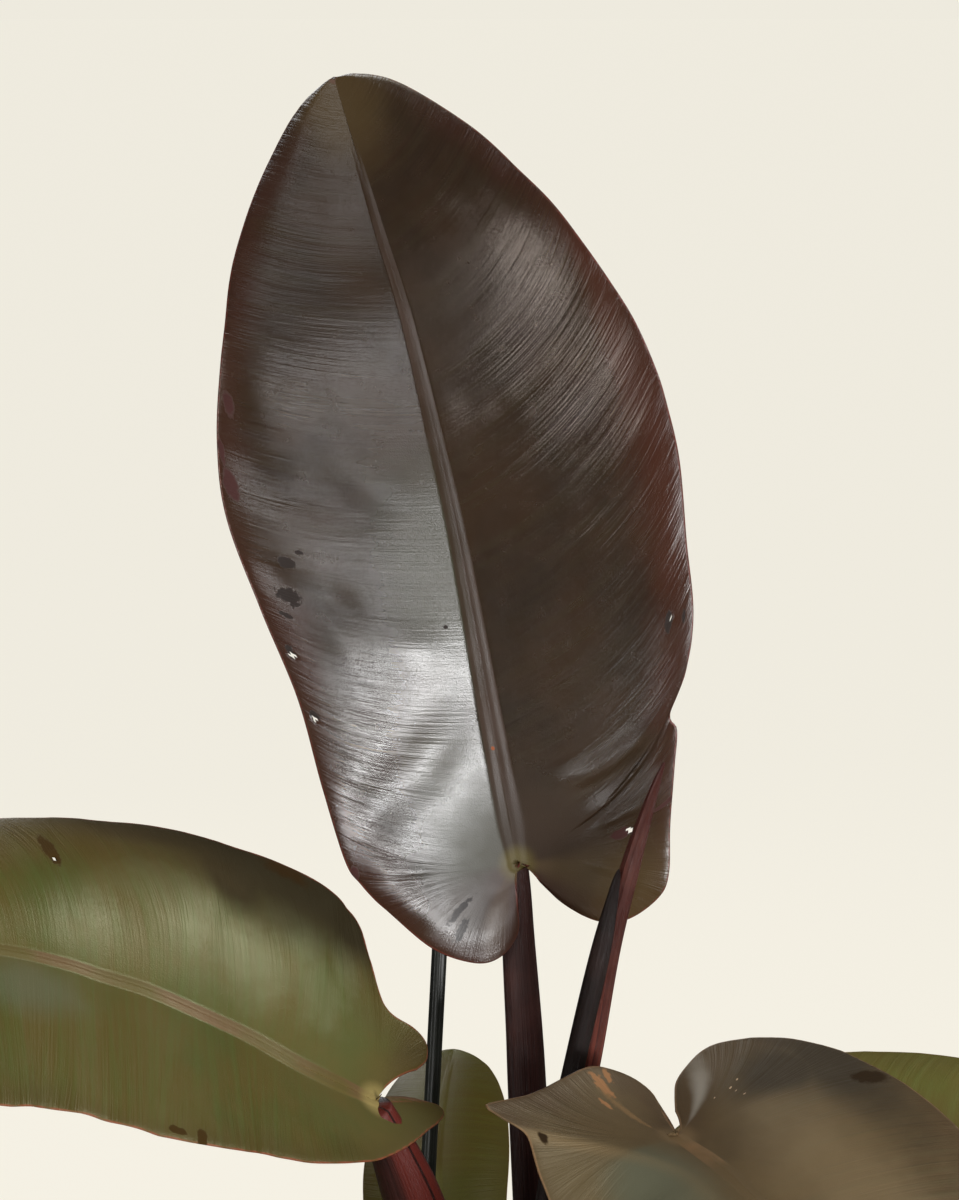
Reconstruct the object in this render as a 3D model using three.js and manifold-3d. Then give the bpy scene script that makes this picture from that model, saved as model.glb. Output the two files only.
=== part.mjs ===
// Potted black cardinal philodendron, in millimetres, +Z up.
// Origin: centre of the pot's base. The front is at -Y.
//
// A leaf blade is a curved sheet on its midrib. Two numbers name a point of each half:
// s runs round the margin from the notch at the stalk to the tip, and v runs from the midrib
// out to the margin along the side veins.
import * as THREE from 'three';
import { mergeVertices } from 'three/addons/utils/BufferGeometryUtils.js';
import Module from 'manifold-3d';

const wasm = await Module();
wasm.setup();

// Driving sizes
const CLEARANCE = 0.3;            // air left where two pieces touch
const CUT_DETAIL = 0.05;          // steps smaller than this are smoothed away after a cut
const BLADE_THICKNESS = 0.9;
const POT_HEIGHT = 130;
const POT_RIM_RADIUS = 75;
const POT_BASE_RADIUS = 54;
const POT_WALL = 5;
const POT_FLOOR = 6;
const POT_SEGMENTS = 40;
const RIM_ROUND = 2;
const DRAIN_RADIUS = 4.5;
const DRAIN_CIRCLE = 28;          // radius of the circle on which the drain holes stand
const SOIL_LEVEL = 118;
const SOIL_GAP = 2;               // air between the soil's edge and the wall at the soil's level
const STEM_RADIUS = 12.5;
const STEM_FOOT = 92;             // the buried end of the stem
const STEM_TOP = 158;
const STEM_SIDES = 14;
const STAKE_RADIUS = 2.1;
const STAKE_FOOT = [-41, 13.2, 30];
const STAKE_TOP = [-24.8, 16.5, 345];
const LOBE_REACH = 0.25;          // blade behind the junction, as a share of the blade's length
const TRIM_BLOCK = [34, 12];      // width and height of what trims the top of a petiole
const KEEL_START = 0.25;          // room for the start of the keel over the end of a petiole
const CURL_SPAN = 50;             // curls are given in degrees for this many millimetres

// Finishes: colour and roughness
const LEAF_DARK = ['#3a2e26', 0.35];
const LEAF_BRONZE = ['#4b4628', 0.35];
const LEAF_GREEN = ['#5a6230', 0.4];
const STALK_PURPLE = ['#3b1f22', 0.4];
const STALK_RED = ['#6e2f2a', 0.4];
const STEM_BROWN = ['#4a3a26', 0.8];
const SHEATH_DARK = ['#2e1b18', 0.5];
const STAKE_BLACK = ['#15191a', 0.4];
const SOIL_BROWN = ['#2e231b', 0.95];
const POT_STONE = ['#d8d0c2', 0.7];

const add = (a, b, scale = 1) => a.map((value, i) => value + b[i] * scale);
const dot = (a, b) => a.reduce((sum, value, i) => sum + value * b[i], 0);
const cross = (a, b) => [a[1] * b[2] - a[2] * b[1], a[2] * b[0] - a[0] * b[2], a[0] * b[1] - a[1] * b[0]];
const length = (a) => Math.sqrt(dot(a, a));
const unit = (a) => a.map((value) => value / length(a));
const clamp = (value, low, high) => Math.min(Math.max(value, low), high);
const smooth = (low, high, value) => {
  const t = clamp((value - low) / (high - low), 0, 1);
  return t * t * (3 - 2 * t);
};
const radians = (degrees) => degrees * Math.PI / 180;

// A smooth curve through points of any dimension, t from 0 to 1
function spline(points, t) {
  const spans = points.length - 1;
  const i = Math.min(Math.floor(clamp(t, 0, 1) * spans), spans - 1);
  const u = clamp(t, 0, 1) * spans - i;
  const mirror = (end, inner) => add(add(end, end), inner, -1);
  const before = i > 0 ? points[i - 1] : mirror(points[0], points[1]);
  const after = i + 2 <= spans ? points[i + 2] : mirror(points[spans], points[spans - 1]);
  return points[i].map((start, k) => {
    const end = points[i + 1][k];
    const square = 2 * before[k] - 5 * start + 4 * end - after[k];
    const cube = 3 * start - before[k] - 3 * end + after[k];
    return 0.5 * (2 * start + (end - before[k]) * u + square * u * u + cube * u * u * u);
  });
}

const ramp = (values, t) => spline(values.map((value) => [value]), t)[0];

// Length along a spline: whole length, and t at a share of it
function measured(points, samples = 240) {
  const sums = [0];
  for (let i = 1; i <= samples; i += 1) {
    const step = add(spline(points, i / samples), spline(points, (i - 1) / samples), -1);
    sums.push(sums[i - 1] + length(step));
  }
  const total = sums[samples];
  const at = (share) => {
    const goal = clamp(share, 0, 1) * total;
    let i = 1;
    while (i < samples && sums[i] < goal) i += 1;
    return (i - 1 + (goal - sums[i - 1]) / (sums[i] - sums[i - 1])) / samples;
  };
  return { total, at };
}

// The blade's surface. side is +1 for the right half, seen from the stalk with the face up, and
// -1 for the left. Flat places are x out from the midrib and y along it from the junction.
class Blade {
  constructor(form) {
    this.form = form;
    this.midrib = measured(form.midrib);
    this.margins = { 1: measured(form.right), [-1]: measured(form.left) };
  }

  // Place, direction, face and side direction of the midrib at y
  frame(y, side) {
    const { midrib, face, lobeCurl = [0, 0] } = this.form;
    const whole = this.midrib.total;
    const inside = clamp(y, 0, whole);
    const t = this.midrib.at(inside / whole);
    const small = 0.001;
    let along = unit(add(spline(midrib, Math.min(t + small, 1)), spline(midrib, Math.max(t - small, 0)), -1));
    const facing = spline(face, inside / whole);
    let up = unit(add(facing, along, -dot(facing, along)));
    const out = cross(along, up);
    let point = spline(midrib, t);
    const bend = radians(lobeCurl[side > 0 ? 0 : 1]) / CURL_SPAN;
    if (y < 0 && bend !== 0) {
      const turn = -y * bend;
      point = add(add(point, along, -Math.sin(turn) / bend), up, (1 - Math.cos(turn)) / bend);
      const raised = add(up.map((value) => value * Math.cos(turn)), along, Math.sin(turn));
      along = add(along.map((value) => value * Math.cos(turn)), up, -Math.sin(turn));
      up = raised;
    } else {
      point = add(point, along, y - inside);
    }
    return { point, along, up, out };
  }

  place(x, y, side, lift = 0) {
    const { point, up, out } = this.frame(y, side);
    const t = clamp((y / this.midrib.total + LOBE_REACH) / (1 + LOBE_REACH), 0, 1);
    const fold = radians(ramp(side > 0 ? this.form.foldRight : this.form.foldLeft, t));
    const curl = radians(ramp(side > 0 ? this.form.curlRight : this.form.curlLeft, t)) / CURL_SPAN || 1e-6;
    const across = (Math.sin(fold + curl * x) - Math.sin(fold)) / curl;
    const height = (Math.cos(fold) - Math.cos(fold + curl * x)) / curl;
    return add(add(point, out, side * across), up, height + lift);
  }

  // Flat place of (s, v): a side vein leaves the midrib and sweeps forward to the margin
  flat(side, s, v) {
    const outline = side > 0 ? this.form.right : this.form.left;
    const end = spline(outline, this.margins[side].at(s));
    const rootShare = this.form.fan[side > 0 ? 0 : 1];
    const root = this.midrib.total * clamp((s - rootShare) / (1 - rootShare), 0, 1);
    const turnX = 0.64 * end[0];
    const turnY = root + (end[1] - root) * 0.26;
    const x = 2 * v * (1 - v) * turnX + v * v * end[0];
    const y = (1 - v) * (1 - v) * root + 2 * v * (1 - v) * turnY + v * v * end[1];
    return [x, y];
  }

  surface(side, s, v) {
    const [x, y] = this.flat(side, s, v);
    return this.place(x, y, side, this.flapLift(side, x, y));
  }

  // A flap: past a line, one half bends down. The line runs beside the midrib, near from it, and
  // swings out to the corner of the lobe. The bend fades out towards the tip.
  flapLift(side, x, y) {
    const { flap } = this.form;
    if (flap?.half !== side) return 0;
    const t = Math.max((flap.end - y) / flap.span, 0);
    const lean = 2 * flap.swing * t / flap.span;
    const past = (x - flap.near - flap.swing * t * t) / Math.hypot(1, lean);
    const faded = smooth(flap.fade[0], flap.fade[1], y);
    return -flap.slope * (1 - faded) * (past + Math.hypot(past, flap.soft)) / 2;
  }
}

// A closed solid from an open sheet of triangles: the sheet is offset both ways, so that both
// faces have the same triangles, and its edge is walled
function thicken(points, faces, above, below) {
  const normals = points.map(() => [0, 0, 0]);
  for (const face of faces) {
    const [a, b, c] = face.map((i) => points[i]);
    const normal = cross(add(b, a, -1), add(c, a, -1));
    for (const i of face) normals[i] = add(normals[i], normal);
  }
  const positions = [];
  for (const sign of [1, -1]) {
    points.forEach((point, i) => {
      const offset = sign > 0 ? above(i) : -below(i);
      positions.push(...add(point, unit(normals[i]), offset));
    });
  }
  const under = points.length;
  const triangles = [];
  const edges = new Map();
  for (const [a, b, c] of faces) {
    triangles.push(a, b, c, a + under, c + under, b + under);
    for (const [from, to] of [[a, b], [b, c], [c, a]]) edges.set(`${from} ${to}`, [from, to]);
  }
  for (const [from, to] of edges.values()) {
    if (edges.has(`${to} ${from}`)) continue;
    triangles.push(to, from, from + under, to, from + under, to + under);
  }
  const geometry = new THREE.BufferGeometry();
  geometry.setAttribute('position', new THREE.Float32BufferAttribute(positions, 3));
  geometry.setIndex(triangles);
  return geometry;
}

// A blade's solid. It swells below into the midrib's keel, except at the junction, where the
// petiole meets it. extra is added above and below, for cutting a neighbour clear of it.
function bladeGeometry(blade, extra = 0) {
  const { lobeRows, tipRows, columns, keel } = blade.form;
  const rows = lobeRows + tipRows;
  const points = [];
  const keelDepth = [];
  const midribIndex = [];
  for (let j = 0; j <= tipRows; j += 1) {
    const share = j / tipRows;
    midribIndex.push(points.length);
    points.push(blade.place(0, share * blade.midrib.total, 1));
    keelDepth.push(keel * (1 - share) ** 0.8 * Math.min(j / 2, 1) ** 1.3);
  }
  const last = columns.length - 1;
  const faces = [];
  for (const side of [1, -1]) {
    const fan = blade.form.fan[side > 0 ? 0 : 1];
    const index = [];
    for (let i = 0; i <= rows; i += 1) {
      const s = i <= lobeRows ? fan * i / lobeRows : fan + (1 - fan) * (i - lobeRows) / tipRows;
      index.push(columns.map((v, k) => {
        if (k === 0 || i === rows || (i === 0 && k < last)) return midribIndex[Math.max(i - lobeRows, 0)];
        points.push(blade.surface(side, s, v));
        keelDepth.push(0);
        return points.length - 1;
      }));
    }
    for (let i = 0; i < rows; i += 1) {
      for (let k = 0; k < last; k += 1) {
        const [a, b, c, d] = [index[i][k], index[i + 1][k], index[i + 1][k + 1], index[i][k + 1]];
        for (const face of [[a, b, c], [a, c, d]]) {
          if (new Set(face).size === 3) faces.push(side > 0 ? face.reverse() : face);
        }
      }
    }
  }
  const half = BLADE_THICKNESS / 2 + extra;
  return thicken(points, faces, () => half, (i) => half + keelDepth[i]);
}

// A round or oval stalk along a spline of [x, y, z, half width]. flat is its thickness as a share
// of its width, and the wide way lies round the plant's axis. extra widens it.
function stalkGeometry(path, { sides = 8, steps = 10, flat = 1, extra = 0, ribs = 0 } = {}) {
  const positions = [];
  const triangles = [];
  for (let i = 0; i <= steps; i += 1) {
    const t = i / steps;
    const [x, y, z, radius] = spline(path, t);
    const ahead = spline(path, Math.min(t + 0.01, 1));
    const behind = spline(path, Math.max(t - 0.01, 0));
    const along = unit(add(ahead, behind, -1).slice(0, 3));
    const centre = path[path.length - 1];
    const outward = [centre[0], centre[1], 0];
    const wide = unit(cross(along, length(outward) > 12 ? outward : [0, 1, 0]));
    const deep = cross(wide, along);
    for (let k = 0; k < sides; k += 1) {
      const angle = 2 * Math.PI * k / sides;
      const reach = radius * (1 + ribs * Math.cos(3 * angle)) + extra;
      const point = add([x, y, z], wide, reach * Math.cos(angle));
      positions.push(...add(point, deep, reach * flat * Math.sin(angle)));
    }
  }
  const ring = (i, k) => i * sides + k % sides;
  const first = positions.length / 3;
  positions.push(...path[0].slice(0, 3), ...path[path.length - 1].slice(0, 3));
  for (let k = 0; k < sides; k += 1) {
    for (let i = 0; i < steps; i += 1) {
      const [a, b, c, d] = [ring(i, k), ring(i, k + 1), ring(i + 1, k + 1), ring(i + 1, k)];
      triangles.push(a, c, b, a, d, c);
    }
    triangles.push(first, ring(0, k), ring(0, k + 1));
    triangles.push(first + 1, ring(steps, k + 1), ring(steps, k));
  }
  const geometry = new THREE.BufferGeometry();
  geometry.setAttribute('position', new THREE.Float32BufferAttribute(positions, 3));
  geometry.setIndex(triangles);
  return geometry;
}

function solid(geometry) {
  const bare = geometry.clone();
  bare.deleteAttribute('normal');
  bare.deleteAttribute('uv');
  const merged = mergeVertices(bare, 1e-4);
  const mesh = new wasm.Mesh({
    numProp: 3,
    vertProperties: new Float32Array(merged.attributes.position.array),
    triVerts: new Uint32Array(merged.index.array),
  });
  return new wasm.Manifold(mesh);
}

const largest = (shape) => shape.decompose().sort((a, b) => b.volume() - a.volume())[0];

// The shape minus the cutters, without the scraps that a cut leaves
function cutFree(geometry, cutters) {
  let shape = solid(geometry);
  for (const cutter of cutters) shape = shape.subtract(cutter);
  const mesh = largest(largest(shape).simplify(CUT_DETAIL)).getMesh();
  const result = new THREE.BufferGeometry();
  result.setAttribute('position', new THREE.Float32BufferAttribute(mesh.vertProperties, 3));
  result.setIndex([...mesh.triVerts]);
  return result;
}

// A turned form from [radius, height] points, about Z
function turned(profile, segments) {
  const geometry = new THREE.LatheGeometry(profile.map(([r, z]) => new THREE.Vector2(r, z)), segments);
  return geometry.rotateX(Math.PI / 2);
}

const object = new THREE.Group();

function addPiece(name, geometry, [color, roughness]) {
  const material = new THREE.MeshStandardMaterial({ color, roughness, metalness: 0, flatShading: true });
  const mesh = new THREE.Mesh(geometry, material);
  mesh.name = name;
  object.add(mesh);
}

// A plain heart-shaped margin, from the notch to the tip
function heartMargin(whole, halfWidth) {
  const shape = [[0.05, -0.05], [0.12, -0.09], [0.28, -0.11], [0.48, -0.1], [0.66, -0.06], [0.78, 0.02],
    [0.86, 0.12], [0.93, 0.24], [0.98, 0.36], [1, 0.47], [0.97, 0.58], [0.88, 0.7], [0.74, 0.8],
    [0.54, 0.89], [0.3, 0.955], [0.1, 0.99], [0, 1]];
  return shape.map(([x, y]) => [x * halfWidth, y * whole]);
}

const even = (value) => [value, value, value, value, value];
const fineGrid = { lobeRows: 10, tipRows: 18, columns: [0, 0.07, 0.3, 0.55, 0.8, 1] };
const plainGrid = { lobeRows: 8, tipRows: 13, columns: [0, 0.08, 0.4, 0.72, 1] };
const smallGrid = { lobeRows: 6, tipRows: 10, columns: [0, 0.1, 0.55, 1] };

// The leaves. petiole is the stalk from the stem to the junction under the blade.
const leaves = {
  main: {
    finish: LEAF_DARK,
    stalk: STALK_PURPLE,
    grid: fineGrid,
    keel: 3.4,
    midrib: [[-6, 8, 318], [-12.5, 3, 354.5], [-17.5, 0, 383], [-22.5, 1, 410], [-28, 4, 434.5],
      [-36.5, 13, 468.5], [-44.5, 25, 493], [-57, 52, 531.5]],
    face: [[0.05, -1, 0.05], [0, -1, 0.1], [0, -1, 0.25]],
    foldRight: [14, 16, 14, 12, 8],
    foldLeft: [14, 16, 14, 12, 8],
    curlRight: even(0),
    curlLeft: even(0),
    right: [[5.5, -6.7], [11.3, -14.1], [19.6, -20.1], [28.3, -20.7], [37.3, -15.7], [41.2, -9], [43.9, 4.9],
      [47.9, 22.1], [50.5, 32.7], [49.4, 37.4], [55.8, 50], [60.3, 64.5], [61.8, 82.3], [64, 101.3],
      [64, 112.9], [63.3, 123.2], [60.6, 137], [56.6, 148.2], [51.4, 160.3], [45.6, 173.8], [33.9, 199.4],
      [17.9, 223.4], [6.3, 232], [0, 232.7]],
    left: [[2.3, -11.7], [3.7, -19.6], [9.8, -25], [17.6, -25], [28.7, -17.9], [39.5, -2.8], [44.8, 6.1],
      [47.9, 13.7], [50.1, 35.3], [51.9, 60.1], [57.1, 84.4], [60.8, 111.1], [58.8, 130.6], [53.2, 150.8],
      [43.8, 176.4], [30, 201.1], [17.8, 218.8], [10.1, 227.3], [3.5, 232], [0, 232.7]],
    fan: [0.36, 0.5],
    lobeCurl: [30, 30],
    petiole: [[1, 3, 150, 6.2], [0, 5, 190, 6], [-3, 8.5, 250, 5.6], [-4, 10.5, 270, 5.3], [-5.6, 12.8, 295, 4.7],
      [-5.9, 12.6, 308, 4], [-6.1, 11.8, 317.4, 3.2]],
  },
  left_front: {
    finish: LEAF_BRONZE,
    stalk: STALK_RED,
    grid: plainGrid,
    keel: 3.2,
    midrib: [[-44.5, -40, 262.5], [-62, -49, 273.5], [-76.5, -55, 283.5], [-90, -62, 292], [-102.5, -67, 299],
      [-114, -72, 304], [-123.5, -77, 308.5], [-138.5, -84, 313.5], [-160, -96, 317.5], [-183.5, -108, 316],
      [-207, -117, 308], [-226.5, -122, 296]],
    face: [[0.45, -0.6, 0.66], [0.3, -0.65, 0.68], [0.15, -0.75, 0.62], [0, -0.8, 0.55]],
    foldRight: [12, 12, 12, 10, 8],
    foldLeft: [20, 16, 12, 10, 8],
    curlRight: [0, 0, -30, -70, -80],
    curlLeft: even(0),
    right: [[14.5, -11.2], [18, -13.6], [21, -13.6], [23.7, -11.9], [25.5, -7.7], [26.1, -1.4], [27.4, 1.9],
      [30.4, 4.6], [40.6, 11], [47.6, 16.6], [51.3, 27.3], [54, 41.2], [54.5, 52], [54.3, 70.4],
      [52.6, 84], [50, 100], [46.5, 118], [41, 138], [34, 157], [26, 176], [17, 195], [8, 210], [0, 217.6]],
    left: [[-1.9, -3.2], [-4.3, -7.3], [-8.7, -14.9], [-12, -21.2], [-12.6, -24.6], [-10.3, -25.9], [-4.8, -22.7],
      [0.8, -18.1], [6.8, -13.5], [13.1, -8.1], [19.2, -2.1], [23.5, 2.8], [27.3, 9.1], [32.7, 18.6],
      [36.6, 25.9], [40.4, 36.2], [47, 59.9], [49.3, 72.3], [49.1, 86.7], [48.8, 99.4], [49.7, 117.2],
      [50.1, 127.9], [48, 145], [42, 163], [33, 181], [22, 198], [10, 211], [0, 217.6]],
    fan: [0.2, 0.22],
    petiole: [[-8, -8, 138, 7.6], [-16, -14, 172, 8.6], [-25.5, -22, 205, 9.4], [-34.2, -29.5, 233, 9.2],
      [-39.8, -34.5, 249, 7.4]],
  },
  right_front: {
    finish: LEAF_BRONZE,
    stalk: STALK_PURPLE,
    grid: fineGrid,
    keel: 3.2,
    midrib: [[36, -45, 254], [49, -60.5, 248], [61, -75, 239], [72.5, -88.5, 227.5], [82.5, -100, 213],
      [91, -111, 197.5], [99, -120, 180.5], [106, -128.5, 162.5], [112.5, -136.5, 144], [119.5, -144, 125.5],
      [126, -152, 107.5]],
    face: [[0, -0.1, 1], [0.3, -0.3, 0.8]],
    foldRight: even(8),
    foldLeft: even(14),
    curlRight: even(0),
    curlLeft: even(0),
    lobeCurl: [50, 0],
    flap: { half: 1, slope: 0.45, soft: 4, near: 11, swing: 35, end: 20, span: 34, fade: [60, 150] },
    right: [[-3.5, -8.4], [-5.2, -12.5], [-6.9, -17.5], [-6.4, -21.2], [-3.8, -25], [1.2, -28.4], [8.5, -30.6],
      [20.2, -28.6], [34.3, -25.7], [49.2, -25.4], [51.1, -24.2], [50, -22.4], [47.8, -18.9], [45, -15],
      [44.1, -12.1], [45.4, -6.6], [46.7, -2], [48.2, 5.1], [49.5, 12], [52.5, 25], [56.5, 41], [59.5, 58],
      [60, 75], [58, 96], [53, 120], [44, 145], [32, 170], [18, 192], [6, 206], [0, 210]],
    left: [[7.2, -9], [11.4, -14.2], [15.4, -18.4], [20.9, -21.4], [27.7, -23.8], [32.8, -24.2], [38.2, -22.3],
      [44.5, -18.3], [49.6, -13.3], [53.6, -6.9], [57.2, 1.3], [58.8, 10.6], [60.5, 20], [61.8, 33.3],
      [62.2, 45], [62, 65], [60, 85], [55, 110], [48, 135], [38, 160], [26, 182], [12, 200], [4, 208],
      [0, 210]],
    fan: [0.36, 0.28],
    petiole: [[8, -9, 140, 6], [15, -19, 178, 5.8], [24, -31, 215, 5.4], [31, -39.5, 238, 4.8],
      [34.5, -43.3, 249, 4]],
  },
  back: {
    finish: LEAF_GREEN,
    stalk: STALK_RED,
    grid: smallGrid,
    keel: 2.2,
    midrib: [[-28, 70, 176], [-29, 90, 191.5], [-29.5, 111, 204], [-28.5, 131, 212.5], [-27, 150, 218],
      [-25.5, 168, 221], [-24.5, 184, 222]],
    face: [[0, -0.5, 1], [0, -0.4, 1]],
    foldRight: even(5),
    foldLeft: even(5),
    curlRight: even(-110),
    curlLeft: even(-110),
    right: heartMargin(125.6, 24),
    left: heartMargin(125.6, 25),
    fan: [0.28, 0.28],
    petiole: [[-2, 11, 128, 5], [-7, 30, 146, 4.6], [-18, 53, 163, 4], [-26, 67, 172, 3.2]],
  },
  right_back: {
    finish: LEAF_GREEN,
    stalk: STALK_RED,
    grid: plainGrid,
    keel: 2.6,
    midrib: [[62, 46, 214], [88, 60, 222], [118, 73, 217.5], [150, 85, 207], [182, 96, 191], [210, 105, 171],
      [230, 111, 151]],
    face: [[-0.2, -0.2, 1], [0, -0.3, 1]],
    foldRight: even(16),
    foldLeft: even(20),
    curlRight: even(0),
    curlLeft: even(0),
    right: heartMargin(201.6, 46),
    left: heartMargin(201.6, 46),
    fan: [0.28, 0.28],
    petiole: [[8, 5.5, 130, 4.8], [24, 17.5, 157, 4.6], [43, 32, 187, 4.1], [55.5, 41.5, 206, 3.4]],
  },
  front_low: {
    finish: LEAF_GREEN,
    stalk: STALK_RED,
    grid: smallGrid,
    keel: 2.4,
    midrib: [[-8, -62, 186], [-12, -88, 188], [-15, -115, 181], [-18, -140, 166], [-20, -160, 145],
      [-21, -174, 122], [-22, -184, 100]],
    face: [[0, 0, 1], [0, -1, 1]],
    foldRight: even(14),
    foldLeft: even(14),
    curlRight: even(0),
    curlLeft: even(0),
    right: heartMargin(164, 42),
    left: heartMargin(164, 42),
    fan: [0.28, 0.28],
    petiole: [[-1, -12, 127, 5], [-3, -30, 150, 4.6], [-6, -49, 172, 4], [-7.5, -59, 182, 3.3]],
  },
  left_back: {
    finish: LEAF_GREEN,
    stalk: STALK_RED,
    grid: smallGrid,
    keel: 2.4,
    midrib: [[-66, 12, 190], [-92, 18, 195], [-120, 25, 190], [-146, 31, 177], [-168, 36, 158],
      [-184, 40, 135], [-195, 43, 112]],
    face: [[0, 0, 1], [-1, 0.2, 1]],
    foldRight: even(14),
    foldLeft: even(14),
    curlRight: even(0),
    curlLeft: even(0),
    right: heartMargin(170, 42),
    left: heartMargin(170, 42),
    fan: [0.28, 0.28],
    petiole: [[-11, 2, 127, 5], [-28, 4.5, 150, 4.6], [-50, 8.5, 173, 4], [-62, 11, 186, 3.3]],
  },
};

// The short stem, its foot in the soil
const stemProfile = (extra) => [[0, STEM_FOOT - extra], [STEM_RADIUS + extra, STEM_FOOT - extra],
  [STEM_RADIUS + extra, SOIL_LEVEL], [STEM_RADIUS - 0.5 + extra, 136], [STEM_RADIUS - 2.5 + extra, 150],
  [6 + extra, STEM_TOP - 1], [0, STEM_TOP + extra]];
const stem = turned(stemProfile(0), STEM_SIDES);
addPiece('stem', stem, STEM_BROWN);

// A block on the underside of a blade at its junction, to trim the end of the petiole
function trimBlock(blade) {
  const { point, along, up, out } = blade.frame(0, 1);
  const [wide, tall] = TRIM_BLOCK;
  const drop = BLADE_THICKNESS / 2 + CLEARANCE + KEEL_START;
  const middle = add(point, up, tall / 2 - drop);
  const basis = new THREE.Matrix4().makeBasis(...[out, along, up].map((way) => new THREE.Vector3(...way)));
  return solid(new THREE.BoxGeometry(wide, wide, tall).applyMatrix4(basis).translate(...middle));
}

// Petioles are cut clear of the stem, of the blade that they carry and of the ones before them.
// The main leaf's petiole stands behind the lobes of its blade, the others meet theirs from below.
const taken = [solid(turned(stemProfile(CLEARANCE), STEM_SIDES))];
const stalkForm = { flat: 0.78, steps: 9 };
for (const [name, form] of Object.entries(leaves)) {
  const blade = new Blade({ ...form, ...form.grid });
  addPiece(`${name}_leaf_blade`, bladeGeometry(blade), form.finish);
  const { point, along, up, out } = blade.frame(0, 1);
  const path = [...form.petiole];
  const cutters = [...taken];
  if (name !== 'main') {
    path.push([...add(point, up, -KEEL_START), form.petiole[form.petiole.length - 1][3] * 0.85]);
    cutters.push(trimBlock(blade));
  }
  const grown = solid(bladeGeometry(blade, CLEARANCE));
  const shifts = [along, out].flatMap((way) => [CLEARANCE, -CLEARANCE].map((d) => way.map((c) => c * d)));
  cutters.push(grown, ...shifts.map((move) => grown.translate(move)));
  addPiece(`${name}_leaf_petiole`, cutFree(stalkGeometry(path, stalkForm), cutters), form.stalk);
  taken.push(solid(stalkGeometry(path, { ...stalkForm, extra: CLEARANCE })));
}

// The new leaf, still rolled up, and the sheath that stands in front of its left side
const spearPath = [[1, -5, 146, 4.2], [0.6, -7, 190, 4], [6, -8, 232, 3.6], [13.1, -9, 264, 3.4],
  [18.9, -12, 297.8, 3.1], [24.4, -14, 321, 2.7], [30, -15.3, 340.5, 1.5], [33.3, -16, 350.3, 0.4]];
const spearForm = { sides: 12, steps: 14, ribs: 0.06 };
addPiece('rolled_new_leaf', cutFree(stalkGeometry(spearPath, spearForm), taken), STALK_RED);
taken.push(solid(stalkGeometry(spearPath, { ...spearForm, extra: CLEARANCE })));

const sheathPath = [[-2, -10.5, 146, 3.2], [-2.5, -12.5, 190, 3.2], [2.5, -13.8, 232, 3], [9.2, -14.8, 265.7, 2.9],
  [16.4, -17.7, 299, 2.7], [21.2, -16.2, 321, 0.8]];
addPiece('new_leaf_sheath', cutFree(stalkGeometry(sheathPath, { sides: 8, steps: 10 }), taken), SHEATH_DARK);

// The support stake
const stakePath = [STAKE_FOOT, STAKE_TOP].map((end) => [...end, STAKE_RADIUS]);
addPiece('support_stake', stalkGeometry(stakePath, { sides: 10, steps: 1 }), STAKE_BLACK);

// The pot, with three drain holes round the middle of its floor
const innerBase = POT_BASE_RADIUS - POT_WALL;
const innerRim = POT_RIM_RADIUS - POT_WALL;
const potProfile = [[0, 0], [POT_BASE_RADIUS - 2, 0], [POT_BASE_RADIUS, 2],
  [POT_RIM_RADIUS - 1, POT_HEIGHT - 6], [POT_RIM_RADIUS, POT_HEIGHT - RIM_ROUND],
  [POT_RIM_RADIUS - RIM_ROUND / 2, POT_HEIGHT], [innerRim + RIM_ROUND / 2, POT_HEIGHT],
  [innerRim, POT_HEIGHT - RIM_ROUND], [innerBase, POT_FLOOR], [0, POT_FLOOR]];
const drains = [30, 150, 270].map((degrees) => {
  const hole = new THREE.CylinderGeometry(DRAIN_RADIUS, DRAIN_RADIUS, 3 * POT_FLOOR, 10).rotateX(Math.PI / 2);
  const turn = radians(degrees);
  return solid(hole.translate(DRAIN_CIRCLE * Math.cos(turn), DRAIN_CIRCLE * Math.sin(turn), 0));
});
addPiece('pot', cutFree(turned(potProfile, POT_SEGMENTS), drains), POT_STONE);

// The soil, with an uneven top and holes for the stem and the stake
function soilGeometry() {
  const top = [60, 50, 38, 26, 14, 0].map((radius) => [radius, SOIL_LEVEL]);
  const geometry = turned([[0, POT_FLOOR + CLEARANCE], [innerBase - CLEARANCE, POT_FLOOR + CLEARANCE],
    [innerRim - SOIL_GAP, SOIL_LEVEL - 1], ...top], POT_SEGMENTS);
  const position = geometry.attributes.position;
  for (let i = 0; i < position.count; i += 1) {
    const [x, y, z] = [position.getX(i), position.getY(i), position.getZ(i)];
    if (z < SOIL_LEVEL - 0.5) continue;
    const rise = 1.6 * Math.sin(0.19 * x + 0.7) * Math.cos(0.16 * y) + 1.1 * Math.sin(0.41 * y - 0.23 * x);
    position.setZ(i, z + rise);
  }
  return geometry;
}
const stemHole = solid(turned(stemProfile(CLEARANCE), STEM_SIDES));
const stakeHole = solid(stalkGeometry(stakePath, { sides: 10, steps: 1, extra: CLEARANCE }));
addPiece('soil', cutFree(soilGeometry(), [stemHole, stakeHole]), SOIL_BROWN);

export default object;
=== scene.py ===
"""Looks of a potted black cardinal philodendron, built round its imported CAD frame.

Lengths are in millimetres in the frame's axes, +Z up, and become metres as each mesh is made.
A leaf blade is a curved sheet on its midrib. Two numbers name a point of each half: s runs
round the margin from the notch at the stalk to the tip, and v runs from the midrib out to the
margin along the side veins.
"""

import functools
import math

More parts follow.
